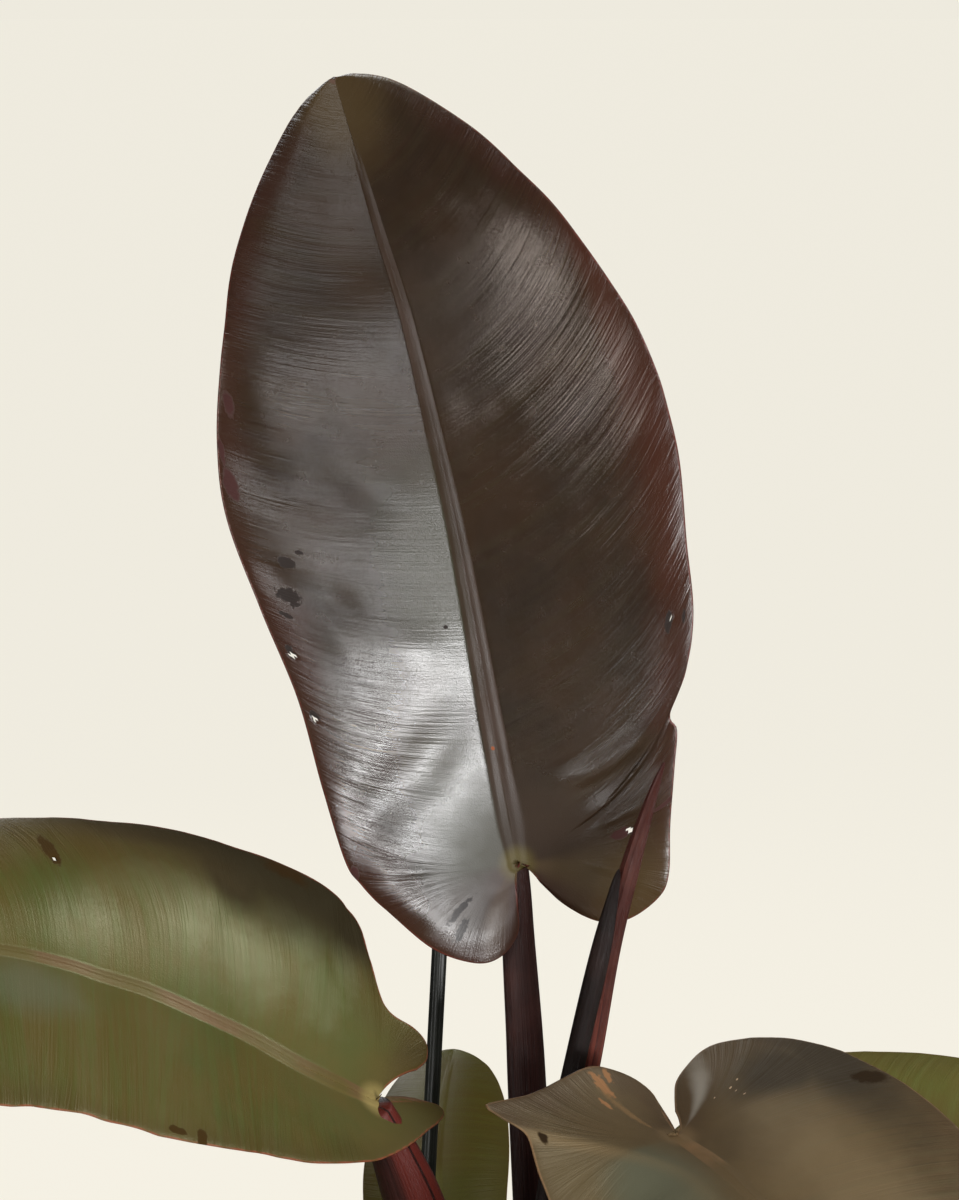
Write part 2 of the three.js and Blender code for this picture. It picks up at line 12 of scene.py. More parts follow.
import bpy
import numpy as np
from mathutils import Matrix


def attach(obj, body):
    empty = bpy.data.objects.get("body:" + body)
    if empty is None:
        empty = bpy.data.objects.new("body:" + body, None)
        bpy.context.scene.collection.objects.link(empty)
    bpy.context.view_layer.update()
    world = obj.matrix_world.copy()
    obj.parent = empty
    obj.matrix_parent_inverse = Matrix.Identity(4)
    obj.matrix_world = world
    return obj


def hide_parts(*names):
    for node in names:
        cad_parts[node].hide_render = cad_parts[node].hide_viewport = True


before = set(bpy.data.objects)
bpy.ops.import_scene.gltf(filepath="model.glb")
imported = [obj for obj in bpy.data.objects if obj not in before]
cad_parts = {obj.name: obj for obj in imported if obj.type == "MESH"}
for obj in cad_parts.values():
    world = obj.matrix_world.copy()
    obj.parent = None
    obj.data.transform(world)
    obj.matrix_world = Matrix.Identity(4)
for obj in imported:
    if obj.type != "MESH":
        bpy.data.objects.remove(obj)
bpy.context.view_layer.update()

MM = 0.001
PLANT_BODY = "root"

# Driving sizes, as in the CAD part
POT_HEIGHT = 130
POT_RIM_RADIUS = 75
POT_BASE_RADIUS = 54
POT_WALL = 5
POT_FLOOR = 6
SOIL_LEVEL = 118
STEM_RADIUS = 12.5
STEM_FOOT = 92
STEM_TOP = 158
STAKE_RADIUS = 2.1
STAKE_FOOT = (-41, 13.2, 30)
STAKE_TOP = (-24.8, 16.5, 345)
LOBE_REACH = 0.25        # blade behind the junction, as a share of the blade's length
CURL_SPAN = 50           # curls are given in degrees for this many millimetres
BLADE_HALF = 0.36        # half the blade's thickness
EDGE_THINNING = 0.12     # how much of that half is gone at the margin
RIM_ROUND = 0.22         # how far the rounded edge stands out
RIB_EDGE = 0.8           # half width of a midrib at its tip
RIDGE_PITCH = 3.2        # spacing of the low ridges along the margin
RIDGE_HEIGHT = 0.07
JUNCTION_FADE = (6, 42)  # ridges and streaks grow between these distances from the junction
WAVE_ROWS = (0, 0.28, 0.56, 0.86, 1.2)  # v of the rows of wave heights, from the midrib's zero
NO_FLAP = 1000.0         # distance behind the line of a flap that isn't there
LEFT_START = 400         # where left halves start in the field along the margin
END_RINGS = 8            # rings in the rounded end of a tube
END_TIP = 0.02           # width left at the very end, as a share of the tube's
UPRIGHT_LEAN = 12        # a tube whose end leans out less than this counts as upright
PETIOLE_DROP = 1.2       # from the middle of a blade down to the end of its petiole
SPEAR_EDGE = 0.5         # turn, in radians, at which the rolled leaf's edge shows
POT_GAP = 0.3            # air between the soil and the pot's floor and foot
SOIL_EDGE_GAP = 2        # air between the soil's edge and the wall at the soil's level
SOIL_SEED = 7
SOIL_SIDES = 160
SOIL_RINGS = 60
CHIPS = ((1, 420, (2.6, 1.7, 0.8)),  # bark and perlite: material slot, number, half sizes
         (2, 130, (1.3, 1.2, 1.1)))
POT_SIDES = 144
FOOT_ROUND = 2
FOOT_RECESS = 0.6        # how far the middle of the pot's underside lies above its foot
FOOT_INSIDE = POT_BASE_RADIUS - 7.5
INNER_ROUND = 3          # round between the pot's floor and its wall
INNER_BASE = POT_BASE_RADIUS - POT_WALL
INNER_RIM = POT_RIM_RADIUS - POT_WALL

# Driving sizes of the view and the studio, in metres and degrees
VIEW_DOWN = 8            # how far down the camera looks
VIEW_DISTANCE = 1.2
VIEW_AIM = (-0.0164, 0, 0.392)
SENSOR_WIDTH = 36        # millimetres, as is the lens
LENS = 132.84
BACKDROP = "#eeeade"
ROOM_LIGHT = (0.05, 0.049, 0.047, 1)
FLOOR_REACH = 60.0
LAMP_AIM = (-0.02, 0.0, 0.40)
# Lamps: azimuth and elevation from the aim, distance, width and height, watts, tint
LAMPS = {
    "key": (38, -16, 1.5, (0.55, 0.25), 13, "#ffffff"),
    "fill": (20, -10, 1.5, (0.6, 0.6), 5.5, "#fff8ee"),
    "left_fill": (-55, -5, 1.5, (0.6, 0.6), 3, "#fff4e6"),
    "middle": (26, 6, 1.5, (0.5, 0.2), 2.8, "#ffffff"),
    "high": (21, 32, 1.5, (0.4, 0.24), 2, "#ffffff"),
    "upper": (9, 69, 1.5, (0.4, 0.3), 0.8, "#ffffff"),
    "lobe": (-20, -42, 1.5, (0.5, 0.3), 0.7, "#fff6ea"),
    "crease": (-50, -17, 1.5, (0.4, 0.3), 4, "#ffffff"),
    "left": (-44, 23, 1.5, (0.34, 0.42), 3.8, "#fff0e6"),
    "side": (92, 38, 1.4, (0.5, 0.35), 8, "#fbfdff"),
    "top_back": (-152, 56, 1.4, (0.5, 0.4), 3, "#fbfdff"),
    "top": (172, 67, 1.4, (0.7, 0.5), 1.6, "#fff2d8"),
    "back": (-165, 20, 1.6, (0.6, 1.0), 4, "#ffffff"),
}


def colour(text):
    """Linear RGBA of a #rrggbb colour."""
    parts = [int(text[i:i + 2], 16) / 255 for i in (1, 3, 5)]
    return tuple(c / 12.92 if c < 0.04045 else ((c + 0.055) / 1.055) ** 2.4 for c in parts) + (1.0,)


# Curves

def unit(vectors):
    return vectors / np.maximum(np.linalg.norm(vectors, axis=-1, keepdims=True), 1e-12)


def spline(points, t):
    """A smooth curve through points, at t from 0 to 1."""
    points = np.asarray(points, float)
    points = points.reshape(len(points), -1)
    spans = len(points) - 1
    place = np.clip(np.asarray(t, float), 0, 1) * spans
    i = np.minimum(place.astype(int), spans - 1)
    u = (place - i)[..., None]
    ends = np.vstack([2 * points[0] - points[1], points, 2 * points[-1] - points[-2]])
    before, start, end, after = ends[i], ends[i + 1], ends[i + 2], ends[i + 3]
    square = 2 * before - 5 * start + 4 * end - after
    cube = 3 * start - before - 3 * end + after
    return 0.5 * (2 * start + (end - before) * u + square * u ** 2 + cube * u ** 3)


def ramp(values, t):
    """A smooth curve through numbers at even steps."""
    return spline(values, t)[..., 0]


def smooth(low, high, value):
    """0 at low, 1 at high, smooth between them."""
    t = np.clip((np.asarray(value, float) - low) / (high - low), 0, 1)
    return t * t * (3 - 2 * t)


class Measured:
    """A spline's length, and the t at a share of it."""

    def __init__(self, points, samples=240):
        self.t = np.linspace(0, 1, samples + 1)
        steps = np.diff(spline(points, self.t), axis=0)
        self.sums = np.concatenate([[0], np.cumsum(np.linalg.norm(steps, axis=1))])
        self.total = self.sums[-1]

    def at(self, share):
        return np.interp(np.clip(share, 0, 1) * self.total, self.sums, self.t)


# Leaf forms

def heart_margin(whole, half_width):
    """The margin of half a heart-shaped blade, from the notch to the tip."""
    shape = [(0.05, -0.05), (0.12, -0.09), (0.28, -0.11), (0.48, -0.1), (0.66, -0.06), (0.78, 0.02),
             (0.86, 0.12), (0.93, 0.24), (0.98, 0.36), (1, 0.47), (0.97, 0.58), (0.88, 0.7), (0.74, 0.8),
             (0.54, 0.89), (0.3, 0.955), (0.1, 0.99), (0, 1)]
    return [(x * half_width, y * whole) for x, y in shape]


def both(value):
    """The same for the right half and the left one."""
    return {1: value, -1: value}


def even(degrees):
    """A fold or curl that stays the same from the lobe to the tip."""
    return [degrees, degrees]


def plain_leaf(whole, half_width, **form):
    """A leaf with a plain heart shape, of which little shows."""
    shape = dict(rows=(50, 100), columns=28, curl=both(even(0)), fan=both(0.28),
                 margin=both(heart_margin(whole, half_width)))
    return {**shape, **form}


# Each leaf: its midrib from the junction to the tip, the way its face looks, the fold of each half
# up from the midrib and its curl over 50 mm in degrees, its margins in the flat, and the share of
# each margin whose veins fan out from the junction. 1 is the right half and -1 the left one.
# rib is the midrib's half width and its height as a share of that, and keel its depth below. rows
# and columns are the steps of the mesh: round the lobe, on to the tip, and out to the margin.
# waves are heights at even steps of s, in rows from the midrib to the margin. A crease is a half,
# the (s, v) where it starts and ends, its height and its half width in s. A roll bends the margin
# back by a height, past a v. A hollow sinks a half by a depth, about an s, over a width. A hole is
# a half, s, v and its radius. A petiole is a path of (x, y, z, half width) from the stem.
LEAVES = {
    "main": dict(
        keel=3.4, rib=(3.3, 0.75), rows=(110, 230), columns=56,
        waves={-1: ([0.4, 0.15, 0, 0, 0, 0, 0, 0, 0, 0, 0, 0.2, 0.2, 0.1, 0.3, 0.3, 0.1, 0, 0, 0, 0],
                    [0.8, 0.5, 0.2, 0.1, 0.1, 0.1, 0.1, 0, -0.2, -0.3, -0.2, 0, -0.2, 0, 0.6, 0.4,
                     0, 0.3, 0.1, 0, 0],
                    [0.5, 0.4, 0.4, 0.5, 0.4, 0.1, -0.2, -0.4, -0.5, -0.6, -0.8, -0.4, -0.6, -0.2, 0.7, 0.5,
                     -0.1, 0.4, 0.1, 0, 0]),
               1: ([0, 0, 0, 0, 0, 0, 0, 0, 0, 0, 0, 0, 0, 0, 0.1, 0.1, 0, 0, 0, 0, 0],
                   [0, 0, 0, 0.2, -0.2, 0.3, -0.4, 0.5, 0.3, -0.1, -0.1, 0, 0, -0.2, 0.2, 0,
                    0, 0.2, 0, 0, 0],
                   [0, 0, 0, 0.4, -0.3, 0.5, -0.5, 0.6, 0.3, -0.3, 0, 0, 0, -0.3, 0.6, 0.4,
                    0, 0.3, 0, 0, 0])},
        creases=[(-1, (0.4, 0.1), (0.27, 0.92), -1.5, 0.03), (-1, (0.505, 0.92), (0.5, 0.45), -1, 0.02),
                 (-1, (0.6, 0.95), (0.59, 0.25), -1.2, 0.02), (-1, (0.475, 0.15), (0.465, 0.7), 0.8, 0.025),
                 (-1, (0.23, 0.85), (0.24, 0.45), 0.4, 0.014), (-1, (0.145, 0.9), (0.15, 0.4), 0.3, 0.014),
                 (-1, (0.07, 0.9), (0.06, 0.4), 0.5, 0.02), (-1, (0.66, 0.9), (0.64, 0.25), 0.7, 0.025),
                 (1, (0.385, 0.2), (0.355, 0.8), 1.3, 0.011), (1, (0.345, 0.3), (0.31, 0.85), 1.2, 0.014),
                 (1, (0.27, 0.4), (0.24, 0.9), 0.9, 0.014), (1, (0.15, 0.4), (0.13, 0.9), 0.6, 0.014),
                 (1, (0.585, 0.45), (0.56, 0.95), 0.4, 0.016), (1, (0.69, 0.1), (0.66, 0.35), 0.4, 0.02),
                 (1, (0.83, 0.5), (0.8, 0.97), 0.4, 0.02)],
        roll={-1: (1.6, 0.7), 1: (1.2, 0.76)},
        hollow={1: (1.7, 0.74, 0.16)},
        midrib=[(-6, 8, 318), (-12.5, 3, 354.5), (-17.5, 0, 383), (-22.5, 1, 410), (-28, 4, 434.5),
                (-36.5, 13, 468.5), (-44.5, 25, 493), (-57, 52, 531.5)],
        face=[(0.05, -1, 0.05), (0, -1, 0.1), (0, -1, 0.25)],
        fold=both([14, 16, 14, 12, 8]),
        curl=both(even(0)),
        margin={
            1: [(5.5, -6.7), (11.3, -14.1), (19.6, -20.1), (28.3, -20.7), (37.3, -15.7), (41.2, -9),
                (43.9, 4.9), (47.9, 22.1), (50.5, 32.7), (49.4, 37.4), (55.8, 50), (60.3, 64.5),
                (61.8, 82.3), (64, 101.3), (64, 112.9), (63.3, 123.2), (60.6, 137), (56.6, 148.2),
                (51.4, 160.3), (45.6, 173.8), (33.9, 199.4), (17.9, 223.4), (6.3, 232), (0, 232.7)],
            -1: [(2.3, -11.7), (3.7, -19.6), (9.8, -25), (17.6, -25), (28.7, -17.9), (39.5, -2.8),
                 (44.8, 6.1), (47.9, 13.7), (50.1, 35.3), (51.9, 60.1), (57.1, 84.4), (60.8, 111.1),
                 (58.8, 130.6), (53.2, 150.8), (43.8, 176.4), (30, 201.1), (17.8, 218.8), (10.1, 227.3),
                 (3.5, 232), (0, 232.7)]},
        fan={1: 0.34, -1: 0.27},
        holes=[(-1, 0.432, 0.91, 0.9), (-1, 0.376, 0.92, 0.8), (1, 0.422, 0.85, 0.7),
               (1, 0.214, 0.66, 1.0)],
        lobe_curl=both(30),
        petiole=[(1, 3, 150, 6.2), (0, 5, 190, 6), (-3, 8.5, 250, 5.6), (-4, 10.5, 270, 5.3),
                 (-5.6, 12.8, 295, 4.7), (-5.9, 12.6, 308, 4), (-6.1, 11.8, 317.4, 3.2)]),
    "left_front": dict(
        keel=3.2, rib=(2.1, 0.7), rows=(70, 140), columns=38,
        midrib=[(-44.5, -40, 262.5), (-62, -49, 273.5), (-76.5, -55, 283.5), (-90, -62, 292),
                (-102.5, -67, 299), (-114, -72, 304), (-123.5, -77, 308.5), (-138.5, -84, 313.5),
                (-160, -96, 317.5), (-183.5, -108, 316), (-207, -117, 308), (-226.5, -122, 296)],
        face=[(0.45, -0.6, 0.66), (0.3, -0.65, 0.68), (0.15, -0.75, 0.62), (0, -0.8, 0.55)],
        fold={1: [12, 12, 12, 10, 8], -1: [20, 16, 12, 10, 8]},
        curl={1: [0, 0, -30, -70, -80], -1: even(0)},
        margin={
            1: [(14.5, -11.2), (18, -13.6), (21, -13.6), (23.7, -11.9), (25.5, -7.7), (26.1, -1.4),
                (27.4, 1.9), (30.4, 4.6), (40.6, 11), (47.6, 16.6), (51.3, 27.3), (54, 41.2), (54.5, 52),
                (54.3, 70.4), (52.6, 84), (50, 100), (46.5, 118), (41, 138), (34, 157), (26, 176),
                (17, 195), (8, 210), (0, 217.6)],
            -1: [(-1.9, -3.2), (-4.3, -7.3), (-8.7, -14.9), (-12, -21.2), (-12.6, -24.6), (-10.3, -25.9),
                 (-4.8, -22.7), (0.8, -18.1), (6.8, -13.5), (13.1, -8.1), (19.2, -2.1), (23.5, 2.8),
                 (27.3, 9.1), (32.7, 18.6), (36.6, 25.9), (40.4, 36.2), (47, 59.9), (49.3, 72.3),
                 (49.1, 86.7), (48.8, 99.4), (49.7, 117.2), (50.1, 127.9), (48, 145), (42, 163), (33, 181),
                 (22, 198), (10, 211), (0, 217.6)]},
        fan={1: 0.2, -1: 0.22},
        holes=[(1, 0.545, 0.58, 1.1)],
        petiole=[(-8, -8, 138, 7.6), (-16, -14, 172, 8.6), (-25.5, -22, 205, 9.4), (-34.2, -29.5, 233, 9.2),
                 (-39.8, -34.5, 249, 7.4)]),
    "right_front": dict(
        keel=3.2, rib=(2.1, 0.7), rows=(70, 140), columns=38,
        midrib=[(36, -45, 254), (49, -60.5, 248), (61, -75, 239), (72.5, -88.5, 227.5), (82.5, -100, 213),
                (91, -111, 197.5), (99, -120, 180.5), (106, -128.5, 162.5), (112.5, -136.5, 144),
                (119.5, -144, 125.5), (126, -152, 107.5)],
        face=[(0, -0.1, 1), (0.3, -0.3, 0.8)],
        fold={1: even(8), -1: even(14)},
        curl=both(even(0)),
        lobe_curl={1: 50, -1: 0},
        flap=dict(half=1, slope=0.45, soft=4, near=11, swing=35, end=20, span=34, fade=(60, 150)),
        margin={
            1: [(-3.5, -8.4), (-5.2, -12.5), (-6.9, -17.5), (-6.4, -21.2), (-3.8, -25), (1.2, -28.4),
                (8.5, -30.6), (20.2, -28.6), (34.3, -25.7), (49.2, -25.4), (51.1, -24.2), (50, -22.4),
                (47.8, -18.9), (45, -15), (44.1, -12.1), (45.4, -6.6), (46.7, -2), (48.2, 5.1), (49.5, 12),
                (52.5, 25), (56.5, 41), (59.5, 58), (60, 75), (58, 96), (53, 120), (44, 145), (32, 170),
                (18, 192), (6, 206), (0, 210)],
            -1: [(7.2, -9), (11.4, -14.2), (15.4, -18.4), (20.9, -21.4), (27.7, -23.8), (32.8, -24.2),
                 (38.2, -22.3), (44.5, -18.3), (49.6, -13.3), (53.6, -6.9), (57.2, 1.3), (58.8, 10.6),
                 (60.5, 20), (61.8, 33.3), (62.2, 45), (62, 65), (60, 85), (55, 110), (48, 135), (38, 160),
                 (26, 182), (12, 200), (4, 208), (0, 210)]},
        fan={1: 0.36, -1: 0.28},
        petiole=[(8, -9, 140, 6), (15, -19, 178, 5.8), (24, -31, 215, 5.4), (31, -39.5, 238, 4.8),
                 (34.5, -43.3, 249, 4)]),
    "back": plain_leaf(
        125.6, 25, keel=2.2, rib=(1.9, 0.5), rows=(44, 84), columns=26,
        midrib=[(-28, 70, 176), (-29, 90, 191.5), (-29.5, 111, 204), (-28.5, 131, 212.5), (-27, 150, 218),
                (-25.5, 168, 221), (-24.5, 184, 222)],
        face=[(0, -0.5, 1), (0, -0.4, 1)],
        fold=both(even(5)),
        curl=both(even(-110)),
        margin={1: heart_margin(125.6, 24), -1: heart_margin(125.6, 25)},
        petiole=[(-2, 11, 128, 5), (-7, 30, 146, 4.6), (-18, 53, 163, 4), (-26, 67, 172, 3.2)]),
    "right_back": plain_leaf(
        201.6, 46, keel=2.6, rib=(2.1, 0.6),
        midrib=[(62, 46, 214), (88, 60, 222), (118, 73, 217.5), (150, 85, 207), (182, 96, 191),
                (210, 105, 171), (230, 111, 151)],
        face=[(-0.2, -0.2, 1), (0, -0.3, 1)],
        fold={1: even(16), -1: even(20)},
        petiole=[(8, 5.5, 130, 4.8), (24, 17.5, 157, 4.6), (43, 32, 187, 4.1), (55.5, 41.5, 206, 3.4)]),
    "front_low": plain_leaf(
        164, 42, keel=2.4, rib=(2, 0.6),
        midrib=[(-8, -62, 186), (-12, -88, 188), (-15, -115, 181), (-18, -140, 166), (-20, -160, 145),
                (-21, -174, 122), (-22, -184, 100)],
        face=[(0, 0, 1), (0, -1, 1)],
        fold=both(even(14)),
        petiole=[(-1, -12, 127, 5), (-3, -30, 150, 4.6), (-6, -49, 172, 4), (-7.5, -59, 182, 3.3)]),
    "left_back": plain_leaf(
        170, 42, keel=2.4, rib=(2, 0.6),
        midrib=[(-66, 12, 190), (-92, 18, 195), (-120, 25, 190), (-146, 31, 177), (-168, 36, 158),
                (-184, 40, 135), (-195, 43, 112)],
        face=[(0, 0, 1), (-1, 0.2, 1)],
        fold=both(even(14)),
        petiole=[(-11, 2, 127, 5), (-28, 4.5, 150, 4.6), (-50, 8.5, 173, 4), (-62, 11, 186, 3.3)]),
}

# Each leaf's look. dark, warm and olive mix over the face; line, margin, rim, rib, collar and
# crest_highlight are the tones of its fine lines, of the zone along the margin and its very edge, of the
# midrib, of the junction and of a painted highlight along a flap's fold. Tints lie under the midrib's tone
# and blemishes over it all. Some tints are painted light: a painted shadow, painted highlights and painted
# sheen. Each of these patches has a tone, a softness, the grain and size of its ragged edge, a strength,
# and how much rougher it is. at holds its blots: half, s, v, and the reach along the margin and
# along the side vein in millimetres.
DARK = dict(
    slot="dark_leaf", dark="#291f16", warm="#342518", olive="#37301f", line="#1c120d", margin="#45241a",
    rim="#6e342a", rib="#44342b", collar="#5e5428", rough=0.25, specular=0.75, margin_tone=0.45,
    tints=[
        dict(tone="#4a2315", soft=0.7, ragged=1.2, grain=60, strength=0.45,
             at=[(1, 0.52, 0.9, 32, 15), (1, 0.68, 0.97, 40, 6)]),
        # A greenish-grey tone by the left half's midrib: the leaf's own olive, lightened as a painted sheen
        dict(tone="#3d4030", soft=0.8, ragged=0.8, grain=60, strength=0.6,
             at=[(-1, 0.52, 0.04, 30, 16), (-1, 0.3, 0.2, 34, 12)]),
        dict(tone="#54442a", soft=0.8, ragged=0.8, grain=60, strength=0.7,
             at=[(1, 0.98, 0.3, 18, 12), (-1, 0.98, 0.3, 18, 12), (1, 0.12, 0.55, 20, 40)]),
        dict(tone="#4a3620", soft=0.5, ragged=0.7, strength=0.5, at=[(-1, 0.06, 0.5, 5, 14)])],
    blemishes=[
        dict(tone="#3a120c", soft=0.2,
             at=[(-1, 0.654, 0.94, 3.4, 1.8), (-1, 0.611, 0.98, 3.2, 1.0), (-1, 0.227, 0.97, 2.6, 1.6),
                 (-1, 0.584, 0.94, 3.6, 2.6), (1, 0.224, 0.93, 0.9, 6), (1, 0.214, 0.6, 3.4, 3.2)]),
        dict(tone="#1e120b", soft=0.08, grain=620, ragged=2.0,
             at=[(-1, 0.528, 0.74, 1.8, 2.8), (-1, 0.492, 0.79, 2.6, 3.8), (-1, 0.541, 0.66, 0.8, 1.2),
                 (-1, 0.472, 0.85, 0.8, 2.4), (-1, 0.436, 0.91, 2, 1.6), (1, 0.422, 0.83, 2.2, 1.8),
                 (1, 0.406, 0.93, 1.4, 1.0), (-1, 0.485, 0.11, 0.5, 0.6), (-1, 0.38, 0.92, 1.2, 1.6)]),
        dict(tone="#1a0f0a", soft=0.2, rougher=0.15, grain=900, ragged=2.0,
             at=[(-1, 0.118, 0.6, 1.8, 5), (-1, 0.1, 0.76, 1.6, 3.6)]),
        dict(tone="#96502c", soft=0.2, at=[(-1, 0.376, 0.02, 0.5, 0.4)]),
        dict(tone="#5a4030", soft=0.3, at=[(-1, 0.997, 0.5, 1.6, 2), (1, 0.999, 0.3, 1, 1.4)])])
BRONZE = dict(
    slot="bronze_leaf", dark="#484a1f", warm="#54491f", olive="#4a5c2a", line="#35300f", margin="#4a3a1a",
    rim="#8a4634", rib="#684a33", collar="#8a7a48", rough=0.34, specular=0.5, line_tone=0.15,
    streak_tone=0.3, sheen_tone="#e6e0b4",
    tints=[
        # Painted sheen: pale silvery bands across the right half, where a lamp's reflection falls
        dict(tone="#777c5c", soft=0.6, ragged=1.6, grain=130, strength=0.3,
             at=[(1, 0.432, 0.5, 12, 10), (1, 0.36, 0.32, 12, 9), (1, 0.28, 0.36, 9, 9),
                 (1, 0.3, 0.58, 7, 9), (1, 0.24, 0.62, 6, 9)]),
        # Painted shadow: the shadow that the main leaf casts, dark along the right half's margin, and
        # rougher there
        dict(tone="#1d1303", soft=0.45, ragged=0.5, grain=60, rougher=0.3,
             at=[(1, 0.3, 1, 48, 24), (1, 0.2, 1, 28, 18), (1, 0.42, 1.05, 32, 16),
                 (1, 0.36, 0.8, 14, 14)]),
        dict(tone="#4b3a1c", soft=0.7, ragged=0.6, grain=60, strength=0.6,
             at=[(1, 0.62, 0.9, 60, 14), (1, 0.03, 0.8, 10, 10)]),
        # Painted sheen: a grey-green patch by the left half's midrib
        dict(tone="#5b6350", soft=0.7, ragged=0.8, grain=90, strength=0.5, at=[(-1, 0.61, 0.18, 14, 7)])],
    blemishes=[
        dict(tone="#3a2606", soft=0.15,
             at=[(1, 0.545, 0.66, 2.2, 6), (-1, 0.449, 0.92, 2.6, 1.8), (-1, 0.43, 0.95, 1, 4)]),
        dict(tone="#35200a", soft=0.6, strength=0.6, at=[(1, 0.293, 0.95, 4, 3)])])
OLIVE = dict(
    slot="bronze_leaf", dark="#483a27", warm="#57472f", olive="#4c4831", line="#2a2015", margin="#3f2c1c",
    # crest_highlight is the tone of a painted highlight along the flap's fold
    rim="#85684c", rib="#94704e", collar="#6b573c", crest_highlight="#85704f", rough=0.4, specular=0.5,
    line_tone=0.25, sheen_tone="#f0e2c0",
    tints=[
        dict(tone="#21180e", soft=0.6, ragged=0.6, grain=60, strength=0.9, rougher=0.15,
             at=[(-1, 0.21, 0.66, 20, 14), (-1, 0.25, 0.85, 30, 12)]),
        dict(tone="#7d6c50", soft=0.7, ragged=1.2, grain=60, strength=0.5, at=[(-1, 0.45, 0.35, 40, 14)]),
        # Painted highlight: a pale blue-grey spot on the left lobe, where a lamp's reflection falls
        dict(tone="#a09c92", soft=0.8, ragged=0.8, grain=90, strength=0.6, at=[(-1, 0.085, 0.58, 5, 11)]),
        dict(tone="#5f533a", soft=0.5, ragged=0.3, grain=60, strength=0.8, at=[(1, 0.42, 0.6, 50, 26)]),
        dict(tone="#4f5e52", soft=0.7, ragged=0.5, grain=60, strength=0.5, at=[(1, 0.4, 0.35, 18, 12)])],
    blemishes=[
        dict(tone="#8c6442", soft=0.25, grain=700, ragged=2.2, rougher=0.3,
             at=[(1, 0.1, 0.84, 2, 3.4), (1, 0.085, 0.93, 1.4, 1.8), (1, 0.118, 0.7, 1, 2)]),
        dict(tone="#7c6040", soft=0.6, grain=600, ragged=1.8, strength=0.6, rougher=0.3,
             at=[(1, 0.104, 0.55, 1.6, 8)]),
        dict(tone="#b8a184", soft=0.2, grain=900, ragged=1.2,
             at=[(-1, 0.151, 0.48, 0.6, 0.6), (-1, 0.151, 0.56, 0.5, 0.5), (-1, 0.2, 0.41, 0.5, 0.5),
                 (-1, 0.17, 0.44, 0.4, 0.5), (-1, 0.13, 0.4, 0.5, 0.4)]),
        dict(tone="#241506", soft=0.3, at=[(-1, 0.286, 0.9, 3, 5), (1, 0.27, 0.88, 3, 1.6)])])
GREEN = dict(
    slot="green_leaf", dark="#47430f", warm="#4c4010", olive="#55591d", line="#35330f", margin="#4e4420",
    rim="#7a5a36", rib="#5f5a2c", collar="#7b7040", rough=0.48, specular=0.3, rib_tone=0.5,
    line_tone=0.15, sheen_tone="#e6e0b4")
PALE = dict(GREEN, dark="#5b5a26", warm="#605527", olive="#66703a")
LOOKS = {"main": DARK, "left_front": BRONZE, "right_front": OLIVE, "back": GREEN,
         "right_back": PALE, "front_low": GREEN, "left_back": GREEN}


